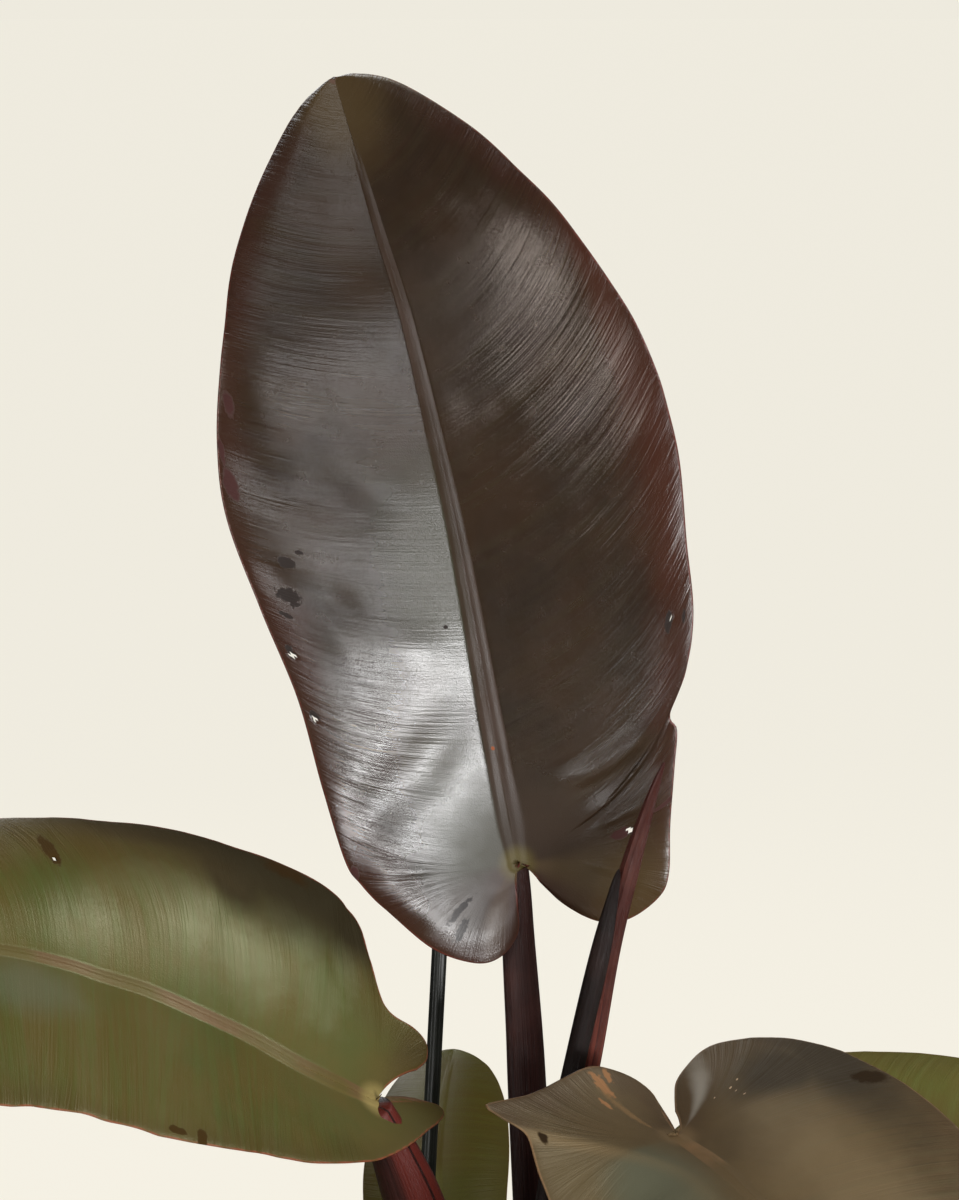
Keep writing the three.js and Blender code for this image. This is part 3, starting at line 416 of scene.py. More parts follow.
class Blade:
    """The middle surface of a blade."""

    def __init__(self, form):
        self.form = form
        self.midrib = Measured(form["midrib"])
        self.whole = self.midrib.total
        self.margins = {side: Measured(form["margin"][side]) for side in (1, -1)}
        random = np.random.default_rng(int(self.whole))
        self.ridges = {side: random.uniform(-1, 1, (2, int(self.margins[side].total / RIDGE_PITCH)))
                       for side in (1, -1)}

    def frame(self, y, side):
        """Place, direction, face and side direction of the midrib at y."""
        y = np.asarray(y, float)
        inside = np.clip(y, 0, self.whole)
        t = self.midrib.at(inside / self.whole)
        midrib = self.form["midrib"]
        along = unit(spline(midrib, np.minimum(t + 0.001, 1)) - spline(midrib, np.maximum(t - 0.001, 0)))
        facing = spline(self.form["face"], inside / self.whole)
        up = unit(facing - (facing * along).sum(-1, keepdims=True) * along)
        out = np.cross(along, up)
        point = spline(midrib, t)
        bend = math.radians(self.form.get("lobe_curl", {}).get(side, 0)) / CURL_SPAN
        over = (y - inside)[..., None]
        if bend:
            turn = np.maximum(-over, 0) * bend
            point = point - along * np.sin(turn) / bend + up * (1 - np.cos(turn)) / bend
            along, up = (along * np.cos(turn) - up * np.sin(turn), up * np.cos(turn) + along * np.sin(turn))
            point = point + along * np.maximum(over, 0)
        else:
            point = point + along * over
        return point, along, up, out

    def place(self, x, y, side, lift=0.0):
        """The place in space of (x, y) in the flat, on the folded and curled blade."""
        point, _, up, out = self.frame(y, side)
        t = np.clip((y / self.whole + LOBE_REACH) / (1 + LOBE_REACH), 0, 1)
        fold = np.radians(ramp(self.form["fold"][side], t))
        curl = np.radians(ramp(self.form["curl"][side], t)) / CURL_SPAN
        curl = np.where(np.abs(curl) < 1e-6, 1e-6, curl)
        across = (np.sin(fold + curl * x) - np.sin(fold)) / curl
        height = (np.cos(fold) - np.cos(fold + curl * x)) / curl
        return point + side * across[..., None] * out + (height + lift)[..., None] * up

    def root(self, side, s):
        """Where the side vein of s leaves the midrib."""
        fan = self.form["fan"][side]
        return self.whole * np.clip((s - fan) / (1 - fan), 0, 1)

    def flat(self, side, s, v):
        """Flat place of (s, v): a side vein leaves the midrib and sweeps forward to the margin."""
        end = spline(self.form["margin"][side], self.margins[side].at(s))
        root = self.root(side, s)
        turn_x = 0.64 * end[..., 0]
        turn_y = root + (end[..., 1] - root) * 0.26
        x = 2 * v * (1 - v) * turn_x + v * v * end[..., 0]
        y = (1 - v) ** 2 * root + 2 * v * (1 - v) * turn_y + v * v * end[..., 1]
        return x, y

    def along_vein(self, side, s, v):
        """The field vein: millimetres along the margin, millimetres along the side vein, and v."""
        s, v = np.broadcast_arrays(np.asarray(s, float), np.asarray(v, float))
        x, y = self.flat(side, s, np.ones_like(v))
        reach = np.hypot(x, y - self.root(side, s))
        return np.stack([s * self.margins[side].total + LEFT_START * (side < 0), v * reach, v], -1)

    def lift(self, side, s, v):
        """Height over the fold: broad waves, creases, a rolled margin, a hollow, and low uneven
        ridges along the side veins."""
        s, v = np.broadcast_arrays(np.asarray(s, float), np.asarray(v, float))
        form = self.form
        total = np.zeros(s.shape)
        if side in form.get("waves", {}):
            rows = [ramp(heights, s) for heights in form["waves"][side]]
            knots = [0 * s, *rows, rows[-1]]
            for first, second, low, high in zip(knots, knots[1:], WAVE_ROWS, WAVE_ROWS[1:]):
                total = total + (second - first) * smooth(low, high, v)
        for half, (s_start, v_start), (s_end, v_end), height, width in form.get("creases", []):
            if half == side:
                t = (v - v_start) / (v_end - v_start)
                away = s - s_start - (s_end - s_start) * t
                faded = smooth(-0.15, 0.3, t) * smooth(1.15, 0.7, t)
                total = total + height * faded * np.exp(-(away / width) ** 2)
        if side in form.get("roll", {}):
            height, start = form["roll"][side]
            total = total - height * np.clip((v - start) / (1 - start), 0, 1) ** 2
        if side in form.get("hollow", {}):
            depth, middle, width = form["hollow"][side]
            total = total - depth * np.sin(math.pi * v) * np.exp(-((s - middle) / width) ** 2)
        inner, outer = (ramp(heights, s) for heights in self.ridges[side])
        clear = smooth(*JUNCTION_FADE, np.hypot(*self.flat(side, s, v)))
        uneven_ridges = inner + (outer - inner) * smooth(0.2, 0.9, v)
        return total + RIDGE_HEIGHT * uneven_ridges * clear * smooth(0.02, 0.4, v)

    def past_flap(self, side, x, y):
        """How far a place lies past a flap's line, which runs beside the midrib, near from it, and
        swings out to the corner of the lobe; far behind it where a half has no flap."""
        flap = self.form.get("flap")
        if not flap or flap["half"] != side:
            return np.full(np.broadcast(x, y).shape, -NO_FLAP)
        t = np.maximum((flap["end"] - y) / flap["span"], 0)
        lean = 2 * flap["swing"] * t / flap["span"]
        return (x - flap["near"] - flap["swing"] * t * t) / np.hypot(1, lean)

    def flap_lift(self, side, x, y):
        """A flap: past its line, one half bends down. The bend fades out towards the tip."""
        flap = self.form.get("flap")
        if not flap or flap["half"] != side:
            return np.zeros(np.broadcast(x, y).shape)
        past = self.past_flap(side, x, y)
        strength = flap["slope"] * (1 - smooth(*flap["fade"], y))
        return -strength * (past + np.hypot(past, flap["soft"])) / 2

    def surface(self, side, s, v):
        """The place in space of (s, v)."""
        x, y = self.flat(side, s, v)
        return self.place(x, y, side, self.lift(side, s, v) + self.flap_lift(side, x, y))


# Meshes

def link(obj):
    bpy.context.scene.collection.objects.link(obj)
    return obj


def make_mesh(name, points, quads, materials, slots=None, **fields):
    """A smooth mesh from points in millimetres and quads, of which some may have shrunk to
    triangles. fields are three numbers for each point, for the materials."""
    faces = []
    kept = []
    for number, quad in enumerate(np.asarray(quads).tolist()):
        corners = list(dict.fromkeys(quad))
        if len(corners) > 2:
            faces.append(corners)
            kept.append(number)
    mesh = bpy.data.meshes.new(name)
    mesh.from_pydata((np.asarray(points) * MM).tolist(), [], faces)
    for material in materials:
        mesh.materials.append(material)
    if slots is not None:
        mesh.polygons.foreach_set("material_index", np.asarray(slots)[kept])
    for field, values in fields.items():
        layer = mesh.attributes.new(field, "FLOAT_VECTOR", "POINT")
        layer.data.foreach_set("vector", np.asarray(values, np.float32).ravel())
    mesh.polygons.foreach_set("use_smooth", [True] * len(faces))
    mesh.update()
    return link(bpy.data.objects.new(name, mesh))


def dress(obj, slot, *nodes):
    """obj rides on the plant and stands for these nodes. slot is not used."""
    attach(obj, PLANT_BODY)
    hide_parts(*nodes)
    return obj


def grid_quads(index):
    return np.stack([index[:-1, :-1], index[1:, :-1], index[1:, 1:], index[:-1, 1:]], -1).reshape(-1, 4)


def point_normals(points, quads):
    normals = np.zeros_like(points)
    across = np.cross(points[quads[:, 2]] - points[quads[:, 0]], points[quads[:, 3]] - points[quads[:, 1]])
    for corner in range(4):
        np.add.at(normals, quads[:, corner], across)
    return unit(normals)


def border_edges(quads):
    """Edges that only one quad has, in that quad's direction."""
    starts = quads.ravel()
    ends = np.roll(quads, -1, axis=1).ravel()
    edges = [(a, b) for a, b in zip(starts.tolist(), ends.tolist()) if a != b]
    present = set(edges)
    return np.array([(a, b) for a, b in edges if (b, a) not in present])


def blade_columns(count):
    """The v of each column of a half, closer together on the midrib and at the margin."""
    inner = [0, 0.007, 0.014, 0.021, 0.028, 0.036, 0.044, 0.052, 0.061, 0.072, 0.085, 0.1, 0.125]
    outer = [0.982, 0.993, 1]
    return np.array(inner + list(np.linspace(0.15, 0.96, count - len(inner) - len(outer))) + outer)


def pierced(blade, side, points, quads):
    """The quads of a half that lie outside its holes."""
    for hole_side, s, v, radius in blade.form.get("holes", []):
        if hole_side == side:
            centre = blade.surface(side, np.array(s), np.array(v))
            quads = quads[np.linalg.norm(points[quads].mean(1) - centre, axis=1) > radius]
    return quads


def blade_sheet(blade):
    """The middle surface of a blade: its points, their places in the flat, their fields vein and
    spot, and its quads. The points of the midrib come first, and both halves share them."""
    form = blade.form
    lobe_rows, tip_rows = form["rows"]
    columns = blade_columns(form["columns"])
    share = np.linspace(0, 1, tip_rows + 1)
    on_rib = share * blade.whole
    zero = 0 * share
    points = [blade.place(zero, on_rib, 1)]
    flats = [np.stack([zero, on_rib], -1)]
    veins = [np.stack([on_rib, zero, zero], -1)]
    spots = [np.stack([share, zero - NO_FLAP, on_rib], -1)]
    quads = []
    count = tip_rows + 1
    for side in (1, -1):
        fan = form["fan"][side]
        s = np.concatenate([np.linspace(0, fan, lobe_rows + 1)[:-1], fan + (1 - fan) * share])
        s_grid, v_grid = np.meshgrid(s[:-1], columns[1:], indexing="ij")
        x, y = blade.flat(side, s_grid, v_grid)
        points.append(blade.surface(side, s_grid, v_grid).reshape(-1, 3))
        flats.append(np.stack([side * x, y], -1).reshape(-1, 2))
        veins.append(blade.along_vein(side, s_grid, v_grid).reshape(-1, 3))
        spots.append(np.stack([s_grid, blade.past_flap(side, x, y), np.hypot(x, y)], -1).reshape(-1, 3))
        index = np.empty((len(s), len(columns)), int)
        index[:, 0] = np.maximum(np.arange(len(s)) - lobe_rows, 0)
        index[:-1, 1:] = count + np.arange(s_grid.size).reshape(s_grid.shape)
        index[-1, :] = tip_rows
        count += s_grid.size
        grid = pierced(blade, side, np.concatenate(points), grid_quads(index))
        quads.append(grid[:, ::-1] if side > 0 else grid)
    return [np.concatenate(part) for part in (points, flats, veins, spots, quads)]


def margin_gap(blade, flats):
    """Each point's distance in the flat from the margin and from the sides of the notch."""
    rim = []
    for side in (1, -1):
        margin = blade.flat(side, np.linspace(0, 1, 400), np.ones(400))
        notch = blade.flat(side, np.zeros(30), np.linspace(0.3, 1, 30))
        rim += [np.stack(line, -1) * (side, 1) for line in (margin, notch)]
    rim = np.concatenate(rim)
    return np.concatenate([np.sqrt(((part[:, None] - rim[None]) ** 2).sum(-1).min(1))
                           for part in np.array_split(flats, 40)])


def midrib_relief(blade, flats):
    """The midrib's ridge above and keel below, and each point's distance from its middle line as a
    share of its half width. The ridge falls evenly on the right, and late and steeply on the left."""
    tipward = np.clip(flats[:, 1] / blade.whole, 0, 1)
    wide, high = blade.form["rib"]
    narrowed = 1 - 0.25 * (1 - smooth(0, 0.06, tipward))
    half_width = (wide * (1 - tipward) ** 1.1 + RIB_EDGE) * narrowed
    gap = np.hypot(flats[:, 0], np.minimum(flats[:, 1], 0)) / half_width
    right_flank = np.interp(gap, (0, 0.45, 0.7, 0.95, 1.1), (0.385, 0.275, 0.15, 0.03, 0))
    left_flank = np.interp(gap, (0, 0.75, 0.92, 1.05), (0.385, 0.2, 0.05, 0))
    ridge = high * half_width * np.where(flats[:, 0] > 0, right_flank, left_flank)
    ridge = ridge * (1 - smooth(0.8, 0.93, tipward))
    keel = blade.form["keel"] * (1 - tipward) ** 0.8
    return ridge, keel * (0.5 + 0.5 * np.cos(np.pi * np.clip(gap, 0, 1))), gap


def make_blade(name, blade, materials):
    """A closed blade: its middle surface made thick, with a rounded edge."""
    points, flats, veins, spots, quads = blade_sheet(blade)
    normals = point_normals(points, quads)
    rim_gap = margin_gap(blade, flats)
    ridge, keel, rib_gap = midrib_relief(blade, flats)
    half = BLADE_HALF - EDGE_THINNING * np.exp(-(rim_gap / 0.7) ** 2)
    above = points + normals * (half + ridge)[:, None]
    below = points - normals * (half + keel)[:, None]

    border = border_edges(quads)
    on_border = np.unique(border)
    outward = np.zeros_like(points)
    direction = unit(points[border[:, 1]] - points[border[:, 0]])
    for end in (0, 1):
        np.add.at(outward, border[:, end], np.cross(direction, normals[border[:, end]]))
    edge = points[on_border] + unit(outward[on_border]) * RIM_ROUND

    size = len(points)
    edge_of = np.full(size, -1)
    edge_of[on_border] = 2 * size + np.arange(len(on_border))
    a, b = border.T
    upper_wall = np.stack([b, a, edge_of[a], edge_of[b]], -1)
    lower_wall = np.stack([edge_of[b], edge_of[a], a + size, b + size], -1)
    all_quads = np.vstack([quads, quads[:, ::-1] + size, upper_wall, lower_wall])
    slots = np.repeat([0, 1, 0], [len(quads), len(quads), 2 * len(border)])
    zones = np.stack([rib_gap, flats[:, 1] / blade.whole, rim_gap], -1)
    fields = {field: np.vstack([values, values, values[on_border]])
              for field, values in (("vein", veins), ("spot", spots), ("zone", zones))}
    return make_mesh(name, np.vstack([above, below, edge]), all_quads, materials, slots, **fields)


def ring_quads(rings, sides):
    """Quads of a closed form of rings of points, with one more point for each end."""
    size = rings * sides
    index = np.arange(size).reshape(rings, sides)
    index = np.hstack([index, index[:, :1]])
    first = np.stack([np.full(sides, size), index[0, :-1], index[0, 1:], index[0, 1:]], -1)
    last = np.stack([np.full(sides, size + 1), index[-1, 1:], index[-1, :-1], index[-1, :-1]], -1)
    return np.vstack([grid_quads(index), first, last])


def sweep(path, sides, rings, section, ends):
    """A closed tube along a spline of (x, y, z, half width). section(angle, t) gives the offsets
    along the wide and the deep direction, as shares of the half width. ends are the lengths over
    which each end rounds off. Returns points, quads and the field (angle, length along, t)."""
    path = np.asarray(path, float)
    length = Measured(path[:, :3])
    start, end = (reach / length.total for reach in ends)
    curved = 1 - np.cos(np.linspace(0, math.pi / 2, END_RINGS + 1))[:-1]
    share = np.concatenate([start * curved, np.linspace(start, 1 - end, rings), 1 - end * curved[::-1]])
    rounding = 1.0
    for gap in (share / start, (1 - share) / end):
        rounding = rounding * np.sqrt(np.clip(1 - (1 - np.clip(gap, 0, 1)) ** 2, END_TIP ** 2, 1))
    t = length.at(share)
    centre = spline(path, t)
    ahead, behind = (spline(path, np.clip(t + step, 0, 1))[:, :3] for step in (0.01, -0.01))
    along = unit(ahead - behind)
    lean = np.array([*path[-1, :2], 0])
    wide = unit(np.cross(along, lean if np.linalg.norm(lean) > UPRIGHT_LEAN else (0, 1, 0)))
    deep = np.cross(wide, along)
    angles, shares = np.meshgrid(np.linspace(0, 2 * math.pi, sides, endpoint=False), share)
    across, depth = (offset * (centre[:, 3] * rounding)[:, None] for offset in section(angles, shares))
    points = centre[:, None, :3] + across[..., None] * wide[:, None] + depth[..., None] * deep[:, None]
    points = np.vstack([points.reshape(-1, 3), points[0].mean(0), points[-1].mean(0)])
    field = np.stack([angles, shares * length.total, shares], -1).reshape(-1, 3)
    return points, ring_quads(len(share), sides), np.vstack([field, field[0], field[-1]])


def lathe(profile, sides, shape):
    """A closed turned form from (radius, height) points that start and end on the axis. shape
    moves its points."""
    profile = np.asarray(profile, float)
    angle = np.linspace(0, 2 * math.pi, sides, endpoint=False)
    radius, height = profile[1:-1, :1], profile[1:-1, 1:]
    points = np.stack([radius * np.cos(angle), radius * np.sin(angle), height + 0 * angle], -1)
    points = shape(np.vstack([points.reshape(-1, 3), [0, 0, profile[0, 1]], [0, 0, profile[-1, 1]]]))
    return points, turn_outward(points, ring_quads(len(profile) - 2, sides))


def turn_outward(points, quads):
    """The same quads, all reversed if they face inwards."""
    a, b, c, d = (points[quads[:, k]] for k in range(4))
    volume = (np.einsum("ij,ij->i", a, np.cross(b, c)) + np.einsum("ij,ij->i", a, np.cross(c, d))).sum()
    return quads[:, ::-1] if volume < 0 else quads


def oval(flat, ridges, depth):
    """A section for sweep: an oval with fine ridges."""
    def section(angle, t):
        reach = 1 + depth * np.cos(ridges * angle)
        return reach * np.cos(angle), flat * reach * np.sin(angle)
    return section


# Materials

class Paint:
    """A material's node tree, written as formulas. A tone is "#rrggbb" or a socket."""

    SOCKETS = {"base": "Base Color", "roughness": "Roughness", "normal": "Normal",
               "specular": "Specular IOR Level", "sheen_tone": "Specular Tint",
               "glow": "Emission Color", "glow_strength": "Emission Strength"}

    def __init__(self, name):
        self.material = bpy.data.materials.new(name)
        self.material.use_nodes = True
        self.tree = self.material.node_tree
        self.shader = next(n for n in self.tree.nodes if n.type == "BSDF_PRINCIPLED")

    def finish(self, **values):
        """Sets the shader's sockets and returns the material."""
        for name, value in values.items():
            self.put(self.shader.inputs[self.SOCKETS[name]], value)
        return self.material

    def node(self, kind, **settings):
        """A new node. kind is the end of its type's name."""
        node = self.tree.nodes.new("ShaderNode" + kind)
        for name, value in settings.items():
            setattr(node, name, value)
        return node

    def put(self, socket, value):
        if isinstance(value, bpy.types.NodeSocket):
            self.tree.links.new(value, socket)
        else:
            socket.default_value = colour(value) if isinstance(value, str) else value

    def math(self, operation, *values):
        node = self.node("Math", operation=operation)
        for socket, value in zip(node.inputs, values):
            self.put(socket, value)
        return node.outputs[0]

    def times(self, *values):
        return functools.reduce(lambda a, b: self.math("MULTIPLY", a, b), values)

    def plus(self, *values):
        return functools.reduce(lambda a, b: self.math("ADD", a, b), values)

    def either_way(self, noise, spread):
        """A noise as an offset to both sides of zero."""
        return self.times(self.math("SUBTRACT", noise, 0.5), spread)

    def vector(self, operation, a, b=(0, 0, 0)):
        node = self.node("VectorMath", operation=operation)
        self.put(node.inputs[0], a)
        self.put(node.inputs[1], b)
        return node.outputs["Value" if operation == "LENGTH" else "Vector"]

    def fade(self, value, low, high):
        """0 at low, 1 at high, smooth between them; high may be the lower one."""
        node = self.node("MapRange", interpolation_type="SMOOTHSTEP")
        start, end = sorted((low, high))
        for name, number in (("Value", value), ("From Min", start), ("From Max", end),
                             ("To Min", float(high < low)), ("To Max", float(low < high))):
            self.put(node.inputs[name], number)
        return node.outputs["Result"]

    def mix(self, factor, a, b):
        """Tone a where factor is 0, and b where it is 1."""
        node = self.node("Mix", data_type="RGBA")
        for socket, value in zip((node.inputs[0], node.inputs[6], node.inputs[7]), (factor, a, b)):
            self.put(socket, value)
        return node.outputs[2]

    def over(self, base, tone, mask, strength=1.0):
        """base with a tone laid over it where mask is 1, as strongly as strength says."""
        return self.mix(mask if strength == 1.0 else self.times(mask, strength), base, tone)

    def noise(self, vector, scale, octaves=3.0, roughness=0.5):
        node = self.node("TexNoise")
        for name, value in (("Vector", vector), ("Scale", scale), ("Detail", octaves),
                            ("Roughness", roughness)):
            self.put(node.inputs[name], value)
        return node.outputs["Fac"]

    def stretched(self, vector, stretch, octaves, roughness=0.5):
        """A noise with its own scale in each direction."""
        return self.noise(self.vector("MULTIPLY", vector, stretch), 1.0, octaves, roughness)

    def place(self):
        """The point in the part's frame, in metres."""
        return self.node("TexCoord").outputs["Object"]

    def field(self, name):
        """What make_mesh kept under a name for each point."""
        return self.node("Attribute", attribute_name=name).outputs["Vector"]

    def split(self, vector):
        node = self.node("SeparateXYZ")
        self.put(node.inputs[0], vector)
        return node.outputs

    def bump(self, height, distance):
        node = self.node("Bump")
        self.put(node.inputs["Height"], height)
        node.inputs["Distance"].default_value = distance
        return node.outputs["Normal"]


def patch_mask(paint, patch, blade, vein, place):
    """Where a patch lies: blots round places of the field vein, with soft or ragged edges."""
    near = None
    for side, s, v, along, out in patch["at"]:
        centre = [float(c) for c in blade.along_vein(side, s, v)[:2]]
        away = paint.vector("SUBTRACT", vein, (*centre, 0))
        gap = paint.vector("LENGTH", paint.vector("MULTIPLY", away, (1 / along, 1 / out, 0)))
        near = gap if near is None else paint.math("MINIMUM", near, gap)
    waver = paint.either_way(paint.noise(place, patch.get("grain", 420), 3, 0.6), patch.get("ragged", 1.2))
    soft = patch.get("soft", 0.12)
    return paint.times(paint.fade(paint.plus(near, waver), 1 + soft, 1 - soft), patch.get("strength", 1.0))


def leaf_material(name, look, blade):
    """The face of a blade."""
    paint = Paint(name)
    place = paint.place()
    rib_gap, tipward, rim = paint.split(paint.field("zone"))
    vein = paint.field("vein")
    out = paint.split(vein)[2]
    share, past_flap, near = paint.split(paint.field("spot"))
    clear = paint.fade(near, *JUNCTION_FADE)
    cloud = paint.noise(place, 26, 4, 0.55)
    mottle = paint.noise(place, 150, 4, 0.6)
    streak = paint.stretched(vein, (0.5, 0.02, 0), 3, 0.55)
    fine_streak = paint.stretched(vein, (1.8, 0.03, 0), 2)
    grain = paint.noise(place, 2600, 2, 0.6)

    def lay(base, roughness, patches, rougher):
        """base and roughness with patches laid over them."""
        for patch in patches:
            mask = patch_mask(paint, patch, blade, vein, place)
            base = paint.over(base, patch["tone"], mask)
            roughness = paint.plus(roughness, paint.times(mask, patch.get("rougher", rougher)))
        return base, roughness

    # Broad tones, then streaks and dark lines along the side veins, the margin and the tip
    base = paint.mix(paint.fade(cloud, 0.36, 0.64), look["dark"], look["warm"])
    streaked = paint.times(paint.fade(streak, 0.42, 0.66), clear)
    base = paint.over(base, look["olive"], streaked, look.get("streak_tone", 0.25))
    lined = paint.times(paint.fade(fine_streak, 0.52, 0.68), clear, paint.fade(out, 0.15, 0.8))
    base = paint.over(base, look["line"], lined, look.get("line_tone", 0.3))
    base = paint.over(base, look["warm"], paint.fade(mottle, 0.5, 0.72), 0.3)
    marginal = paint.fade(paint.plus(rim, paint.either_way(cloud, 30)), 12, 0.5)
    base = paint.over(base, look["margin"], marginal, look.get("margin_tone", 0.5))
    base = paint.over(base, look["olive"], paint.fade(tipward, 0.86, 1.0), 0.5)

    roughness = paint.plus(look["rough"], paint.either_way(mottle, 0.16))
    # Tints: the leaf's own tones, and on some leaves painted shadow, painted highlights and painted sheen
    base, roughness = lay(base, roughness, look.get("tints", []), 0.0)

    # A painted highlight along a flap's fold, the midrib, the very edge and the duller place round the
    # junction
    if "crest_highlight" in look:
        crest_highlight = paint.times(paint.fade(past_flap, -3, 0.5), paint.fade(past_flap, 5, 0.5),
                            paint.fade(share, 0.5, 0.2))
        base = paint.over(base, look["crest_highlight"], crest_highlight, 0.6)
    rib = paint.times(paint.fade(rib_gap, 1.08, 0.86), paint.fade(tipward, 0.93, 0.8))
    rib_line = paint.mix(paint.fade(cloud, 0.4, 0.6), look["rib"], look["warm"])
    base = paint.over(base, rib_line, rib, look.get("rib_tone", 0.8))
    base = paint.over(base, look["rim"], paint.fade(rim, 0.5, 0.1), 0.7)
    base = paint.over(base, look["collar"], paint.fade(near, 7, 2.5), 0.85)
    roughness = paint.plus(roughness, paint.times(rib, 0.08), paint.times(paint.fade(near, 34, 6), 0.3))
    base, roughness = lay(base, roughness, look.get("blemishes", []), 0.6)

    # Relief: streaks that fade out at the midrib and the junction, and an even grain
    height = paint.plus(streak, paint.times(fine_streak, 0.6))
    height = paint.times(height, paint.math("MULTIPLY_ADD", paint.fade(out, 0.1, 0.7), 0.7, 0.3), clear)
    height = paint.plus(height, paint.times(grain, 0.24))
    return paint.finish(base=base, roughness=roughness, normal=paint.bump(height, 0.0002),
                        specular=look["specular"], sheen_tone=look.get("sheen_tone", "#ffffff"))


def underside_material(name, tone, vein_tone):
    """The back of a blade, with the midrib and the side veins in their own tone."""
    paint = Paint(name)
    place = paint.place()
    rib_gap = paint.split(paint.field("zone"))[0]
    side_vein = paint.stretched(paint.field("vein"), (0.16, 0.01, 0), 4, 0.55)
    base = paint.mix(paint.fade(paint.noise(place, 30, 4, 0.55), 0.35, 0.65), tone, vein_tone)
    base = paint.over(base, vein_tone, paint.fade(side_vein, 0.5, 0.6), 0.4)
    base = paint.over(base, vein_tone, paint.fade(rib_gap, 1.0, 0.7))
    height = paint.plus(side_vein, paint.times(paint.noise(place, 1600, 2), 0.2))
    return paint.finish(base=base, roughness=0.46, normal=paint.bump(height, 0.0003))


def stalk_material(name, tone, light, dark, rough=0.38, turns=9, lit_side_tone=None, dark_end=None):
    """Fine lines run along the stalk, closer together with more turns. lit_side_tone is a painted
    highlight: a lighter tone laid along one side of the stalk, where the light falls. dark_end holds the
    shares of the length between which the end darkens. The field stalk is (angle, length along, t)."""
    paint = Paint(name)
    place = paint.place()
    angle, along, t = paint.split(paint.field("stalk"))
    ring = paint.node("CombineXYZ")
    for socket, value in zip(ring.inputs, (paint.times(paint.math("COSINE", angle), turns),
                                           paint.times(paint.math("SINE", angle), turns),
                                           paint.times(along, 0.02))):
        paint.put(socket, value)
    lines = paint.noise(ring.outputs[0], 1.0, 4, 0.65)
    fleck = paint.noise(place, 900, 3, 0.6)
    base = paint.mix(paint.fade(lines, 0.38, 0.66), dark, tone)
    base = paint.over(base, light, paint.fade(paint.noise(place, 40, 4, 0.6), 0.45, 0.7), 0.6)
    base = paint.over(base, light, paint.fade(fleck, 0.62, 0.72), 0.35)
    # Painted highlight: the lit side of the stalk in a lighter red, with an uneven edge
    if lit_side_tone:
        lit_side_mask = paint.math("MULTIPLY_ADD", lines, 0.5, paint.math("COSINE", angle))
        base = paint.over(base, lit_side_tone, paint.fade(lit_side_mask, 0.7, 1.1))
    if dark_end:
        base = paint.over(base, dark, paint.fade(t, *dark_end), 0.7)
    height = paint.plus(lines, paint.times(fleck, 0.15))
    return paint.finish(base=base, roughness=rough, normal=paint.bump(height, 0.0004), specular=0.3)


def soil_material():
    paint = Paint("potting_soil")
    place = paint.place()
    lumps = paint.noise(place, 220, 6, 0.65)
    crumbs = paint.noise(place, 1100, 4, 0.7)
    base = paint.mix(paint.fade(lumps, 0.35, 0.65), "#1c130d", "#3a2b1f")
    base = paint.over(base, "#5a4634", paint.fade(crumbs, 0.6, 0.75), 0.7)
    height = paint.plus(lumps, paint.times(crumbs, 0.4))
    return paint.finish(base=base, roughness=0.95, normal=paint.bump(height, 0.002))


def bark_material():
    paint = Paint("bark_chips")
    grain = paint.stretched(paint.place(), (300, 300, 900), 5, 0.65)
    base = paint.mix(paint.fade(grain, 0.35, 0.68), "#2b1a10", "#6a4a30")
    return paint.finish(base=base, roughness=0.85, normal=paint.bump(grain, 0.0012))


def perlite_material():
    paint = Paint("perlite")
    pores = paint.noise(paint.place(), 900, 4, 0.7)
    base = paint.mix(paint.fade(pores, 0.35, 0.6), "#a89f92", "#e4dfd6")
    return paint.finish(base=base, roughness=0.9, normal=paint.bump(pores, 0.0008))


def pot_material():
    paint = Paint("stoneware")
    place = paint.place()
    cloud = paint.noise(place, 14, 4, 0.5)
    sand = paint.noise(place, 700, 4, 0.65)
    speck = paint.noise(place, 340, 2, 0.5)
    height = paint.split(place)[2]
    base = paint.mix(paint.fade(cloud, 0.3, 0.7), "#d6cdbf", "#c9bfae")
    base = paint.over(base, "#8a7963", paint.fade(speck, 0.66, 0.72), 0.55)
    base = paint.over(base, "#a8977f", paint.fade(height, 0.012, 0.001), 0.35)
    bump = paint.bump(paint.plus(sand, paint.times(cloud, 0.3)), 0.00035)
    return paint.finish(base=base, roughness=paint.math("MULTIPLY_ADD", sand, 0.2, 0.55), normal=bump)


def stake_material():
    paint = Paint("coated_stake")
    place = paint.place()
    base = paint.mix(paint.fade(paint.noise(place, 60, 3, 0.6), 0.35, 0.7), "#171915", "#252822")
    fine = paint.stretched(place, (1800, 1800, 180), 2)
    return paint.finish(base=base, roughness=0.44, normal=paint.bump(fine, 0.00006))


def floor_material():
    """Even pale paper that glows in the backdrop's tone."""
    return Paint("studio_floor").finish(base="#5c5850", roughness=1.0, specular=0.0, glow=BACKDROP,
                                        glow_strength=1.0)


# Pieces

def make_leaves():
    undersides = {
        "dark": underside_material("burgundy_underside", "#4a1d1c", "#5e2a24"),
        "green": underside_material("bronze_underside", "#4f3f22", "#6b4a30"),
    }
    for name, form in LEAVES.items():
        blade = Blade(form)
        look = LOOKS[name]
        face = leaf_material(f"{name}_leaf_face", look, blade)
        under = undersides["dark" if name == "main" else "green"]
        dress(make_blade(f"{name}_blade", blade, [face, under]), look["slot"], f"{name}_leaf_blade")


def make_tube(name, slot, node, material, path, section, steps, ends):
    """A closed tube that stands for a node. steps are its numbers of sides and rings."""
    points, quads, field = sweep(path, *steps, section, ends)
    tube = make_mesh(name, points, turn_outward(points, quads), [material], stalk=field)
    dress(tube, slot, node)


